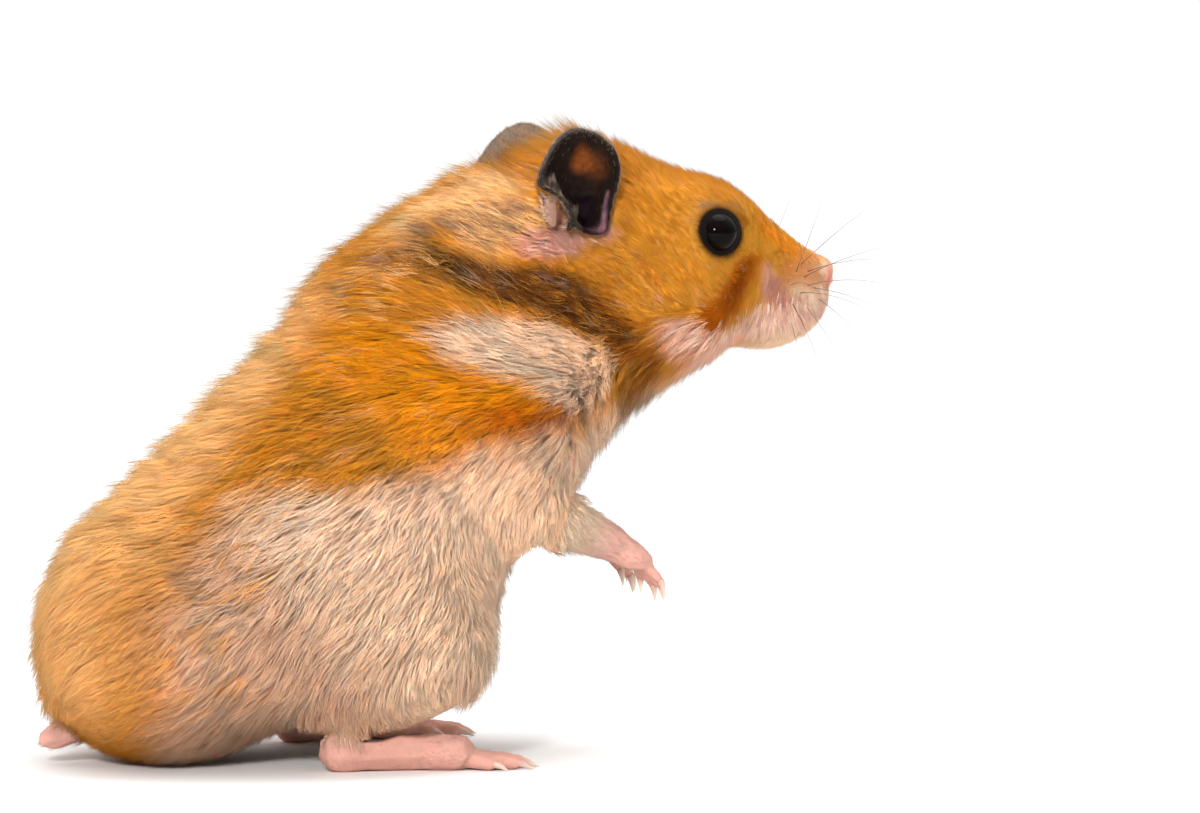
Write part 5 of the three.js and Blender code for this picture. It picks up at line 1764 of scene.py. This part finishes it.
class HAMSTER_OT_skin(bpy.types.Operator):
    """Make one skin over the flesh, with the ears, lids, nose and mouth in it"""

    bl_idname = "hamster.skin"
    bl_label = "Skin"

    def execute(self, context):
        points, triangles, owners = skin_mesh()
        thing = mesh_object("skin", points, triangles)
        mesh = thing.data
        normals = normals_of(points, triangles)
        on_ear = belongs(owners, "ear_")
        depth = np.where(on_ear, 0, coat_at(points, owners)[2])
        tint = tints(points + normals * depth[:, None], normals, owners)
        add_attribute(mesh, "tint", "FLOAT_COLOR", tint)
        add_attribute(mesh, "bare", "FLOAT", np.maximum(bare(points), on_ear * EAR_BARENESS))
        mesh.attributes.new("owner", "INT", "POINT").data.foreach_set("value", owners.astype(np.int32))
        context.view_layer.objects.active = thing
        thing.select_set(True)
        mesh.uv_layers.new(name="OFBake")
        bpy.ops.object.mode_set(mode="EDIT")
        bpy.ops.mesh.select_all(action="SELECT")
        bpy.ops.uv.smart_project(angle_limit=math.radians(UNWRAP_ANGLE), island_margin=ISLAND_MARGIN)
        bpy.ops.object.mode_set(mode="OBJECT")
        finish_piece(thing, skin_material())
        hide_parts(*FLESH_NODES, "ear_left", "ear_right")
        return {"FINISHED"}


def found_skin():
    """The skin that its operator has made."""
    thing = bpy.data.objects.get("skin")
    if thing is None:
        raise RuntimeError("the skin has to be made first")
    owners = np.empty(len(thing.data.vertices), np.int32)
    thing.data.attributes["owner"].data.foreach_get("value", owners)
    return Skin(thing, owners)


def coat_pieces(coats):
    """The name, nodes, side and number of hairs of each piece; the side is 0 for one on both sides."""
    for name, prefixes, paired, count in coats:
        if paired:
            for side, sign in SIDES:
                yield f"coat_{name}_{side}", prefixes, sign, count
        else:
            yield f"coat_{name}", prefixes, 0, count


def grow_coats(skin, coats, settings, long_hair, material):
    """Grow every coat piece of one kind of hair, so that locks run across from piece to piece."""
    numbers = np.random.default_rng(settings.seed)
    names, faces, weights, pieces = [], [], [], []
    for name, prefixes, sign, count in coat_pieces(coats):
        def allowed(places, owners):
            inside = belongs(owners, *prefixes)
            return inside & (places[:, 1] * sign > 0) if sign else inside
        some_faces, some_weights = chosen_roots(skin, count, allowed, numbers)
        faces.append(some_faces)
        weights.append(some_weights)
        pieces.append(np.full(count, len(names)))
        names.append(name)
    pieces = np.concatenate(pieces)
    paths = hair_paths(skin, np.concatenate(faces), np.concatenate(weights), settings, numbers)
    jitter = paths["reach"] * SEEN_JITTER * numbers.normal(size=len(paths["reach"]))[:, None]
    tint = tints(paths["seen"] + jitter, paths["normals"], paths["owners"], paths["lots"])
    for index, name in enumerate(names):
        thing = hair_mesh(name, paths, pieces == index, tint, long_hair, settings.softness)
        finish_piece(thing, material)


class HAMSTER_OT_coat(bpy.types.Operator):
    """Grow the coat over the skin in locks of hair"""

    bl_idname = "hamster.coat"
    bl_label = "Coat"

    def execute(self, context):
        skin = found_skin()
        material = coat_material()
        settings = context.scene.hamster
        grow_coats(skin, SHORT_COATS, settings.short_hair, False, material)
        grow_coats(skin, LONG_COATS, settings.long_hair, True, material)
        return {"FINISHED"}


class HAMSTER_OT_eyes(bpy.types.Operator):
    """Set the eyes in their lids"""

    bl_idname = "hamster.eyes"
    bl_label = "Eyes"

    def execute(self, context):
        finish = context.scene.hamster.finish
        material = eye_material(tuple(finish.eye_dark), tuple(finish.eye_brown))
        for side, sign in SIDES:
            thing = mesh_object("eyeball_" + side, *eye_ball(sign))
            finish_piece(thing, material)
            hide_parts("eye_" + side)
        return {"FINISHED"}


def horn_piece(name, parts, sides, material):
    """Claws or whiskers as one piece, coloured by how far along them a place is."""
    thing = mesh_object(name, *gathered(parts))
    along = [along_tube(points, sides) for points, _ in parts]
    add_attribute(thing.data, "along", "FLOAT", np.concatenate(along))
    finish_piece(thing, material)


class HAMSTER_OT_claws(bpy.types.Operator):
    """Put a claw on every toe and finger"""

    bl_idname = "hamster.claws"
    bl_label = "Claws"

    def execute(self, context):
        finish = context.scene.hamster.finish
        material = horn_material("claw", tuple(finish.claw_root), tuple(finish.claw_tip), 0.3)
        for side, sign in SIDES:
            horn_piece("claws_" + side, claws_of(sign), CLAW_SIDES, material)
        return {"FINISHED"}


class HAMSTER_OT_whiskers(bpy.types.Operator):
    """Set the whiskers in the muzzle"""

    bl_idname = "hamster.whiskers"
    bl_label = "Whiskers"

    def execute(self, context):
        finish = context.scene.hamster.finish
        material = horn_material("whisker", tuple(finish.whisker_root), tuple(finish.whisker_tip), 0.4)
        skin = found_skin()
        for side, sign in SIDES:
            parts = [whisker(skin, row, sign) for row in WHISKERS]
            horn_piece("whiskers_" + side, parts, WHISKER_SIDES, material)
        return {"FINISHED"}


SENSOR_WIDTH = 36  # in mm
FLOOR_RADIUS, FLOOR_SIDES = 40000, 96
# The lights' places from the aim, as across, up and towards the camera, and their sizes, all in m.
KEY_PLACE, KEY_SIZE = (-0.19, 0.27, 0.85), 0.13
TOP_PLACE, TOP_SIZE = (0.1, 0.6, 0), 0.5
DIM_FROM = (-0.1, 0.6)  # how far towards the camera the daylight begins to dim, and has dimmed


class HAMSTER_OT_stage(bpy.types.Operator):
    """Set up the floor, the lights and the camera"""

    bl_idname = "hamster.stage"
    bl_label = "Stage"

    def execute(self, context):
        settings = context.scene.hamster.stage
        turn, rise = settings.azimuth, settings.elevation
        across = Vector((math.cos(turn), math.sin(turn), 0))
        towards = Vector((math.sin(turn) * math.cos(rise), -math.cos(turn) * math.cos(rise), math.sin(rise)))
        up = towards.cross(across)
        aim = (across * settings.aim[0] + up * settings.aim[1]) * MM
        camera = bpy.data.objects.new("camera", bpy.data.cameras.new("camera"))
        camera.matrix_world = Matrix.Translation(aim + towards * settings.distance) @ Matrix(
            (across, up, towards)).transposed().to_4x4()
        camera.data.sensor_width = SENSOR_WIDTH
        camera.data.lens = SENSOR_WIDTH * settings.distance / (settings.width * MM)
        camera.data.clip_start = 0.01
        context.scene.collection.objects.link(camera)
        context.scene.camera = camera

        self.add_floor()
        axes = Matrix((across, up, towards)).transposed()
        for name, place, size, power in (("key light", KEY_PLACE, KEY_SIZE, settings.key),
                                         ("top light", TOP_PLACE, TOP_SIZE, settings.top)):
            self.add_light(context, name, aim + axes @ Vector(place), aim, size, power)
        context.scene.world = self.daylight(settings, towards)
        context.scene.view_settings.view_transform = "Standard"
        return {"FINISHED"}

    @staticmethod
    def add_floor():
        """A round floor that reaches to the horizon."""
        about = np.linspace(0, 2 * math.pi, FLOOR_SIDES, endpoint=False)
        edge = np.stack([np.cos(about), np.sin(about), 0 * about], axis=1) * FLOOR_RADIUS
        corner = np.arange(FLOOR_SIDES)
        triangles = np.stack([corner, np.roll(corner, -1), np.full(FLOOR_SIDES, FLOOR_SIDES)], axis=1)
        floor = mesh_object("floor", np.concatenate([edge, [(0, 0, 0)]]), triangles)
        floor.data.materials.append(floor_material())

    @staticmethod
    def daylight(settings, towards):
        """A sky that is bright overhead and dim on the camera's side."""
        world = bpy.data.worlds.new("daylight")
        world.use_nodes = True
        tree = world.node_tree
        direction = tree.nodes.new("ShaderNodeTexCoord").outputs["Generated"]
        split = tree.nodes.new("ShaderNodeSeparateXYZ")
        wire(tree, direction, split.inputs[0])
        aside = tree.nodes.new("ShaderNodeVectorMath")
        aside.operation = "DOT_PRODUCT"
        wire(tree, direction, aside.inputs[0])
        aside.inputs[1].default_value = towards
        overhead = ranged(tree, split.outputs["Z"], 0.0, 1.0, settings.horizon, settings.zenith)
        dimmed = ranged(tree, aside.outputs["Value"], *DIM_FROM, 1.0, settings.front)
        set_inputs(tree, tree.nodes["Background"],
                   {"Color": (1, 1, 1), "Strength": math_node(tree, "MULTIPLY", overhead, dimmed)})
        return world

    @staticmethod
    def add_light(context, name, place, aim, size, power):
        light = bpy.data.lights.new(name, "AREA")
        light.shape = "DISK"
        light.size = size
        light.energy = power
        thing = bpy.data.objects.new(name, light)
        turn = (place - aim).to_track_quat("Z", "Y").to_matrix().to_4x4()
        thing.matrix_world = Matrix.Translation(place) @ turn
        context.scene.collection.objects.link(thing)


OPERATORS = (HAMSTER_OT_stage, HAMSTER_OT_skin, HAMSTER_OT_coat, HAMSTER_OT_eyes, HAMSTER_OT_claws,
             HAMSTER_OT_whiskers)


class HAMSTER_PT_panel(bpy.types.Panel):
    """The hamster's settings and the steps that make it"""

    bl_idname = "HAMSTER_PT_panel"
    bl_label = "Hamster"
    bl_space_type = "VIEW_3D"
    bl_region_type = "UI"
    bl_category = "Hamster"

    def draw(self, context):
        settings = context.scene.hamster
        for group in (settings.short_hair, settings.long_hair, settings.finish, settings.stage):
            box = self.layout.box()
            for name in group.bl_rna.properties.keys():
                if name not in ("rna_type", "name"):
                    box.prop(group, name)
        for operator in OPERATORS:
            self.layout.operator(operator.bl_idname)


CLASSES = (HAMSTER_PG_short_hair, HAMSTER_PG_long_hair, HAMSTER_PG_finish, HAMSTER_PG_stage,
           HAMSTER_PG_settings, *OPERATORS, HAMSTER_PT_panel)


def register():
    for cls in CLASSES:
        bpy.utils.register_class(cls)
    bpy.types.Scene.hamster = bpy.props.PointerProperty(type=HAMSTER_PG_settings)


def unregister():
    del bpy.types.Scene.hamster
    for cls in reversed(CLASSES):
        bpy.utils.unregister_class(cls)


def main():
    register()
    bpy.ops.hamster.stage()
    bpy.ops.hamster.skin()
    bpy.ops.hamster.coat()
    bpy.ops.hamster.eyes()
    bpy.ops.hamster.claws()
    bpy.ops.hamster.whiskers()


if __name__ == "__main__":
    main()
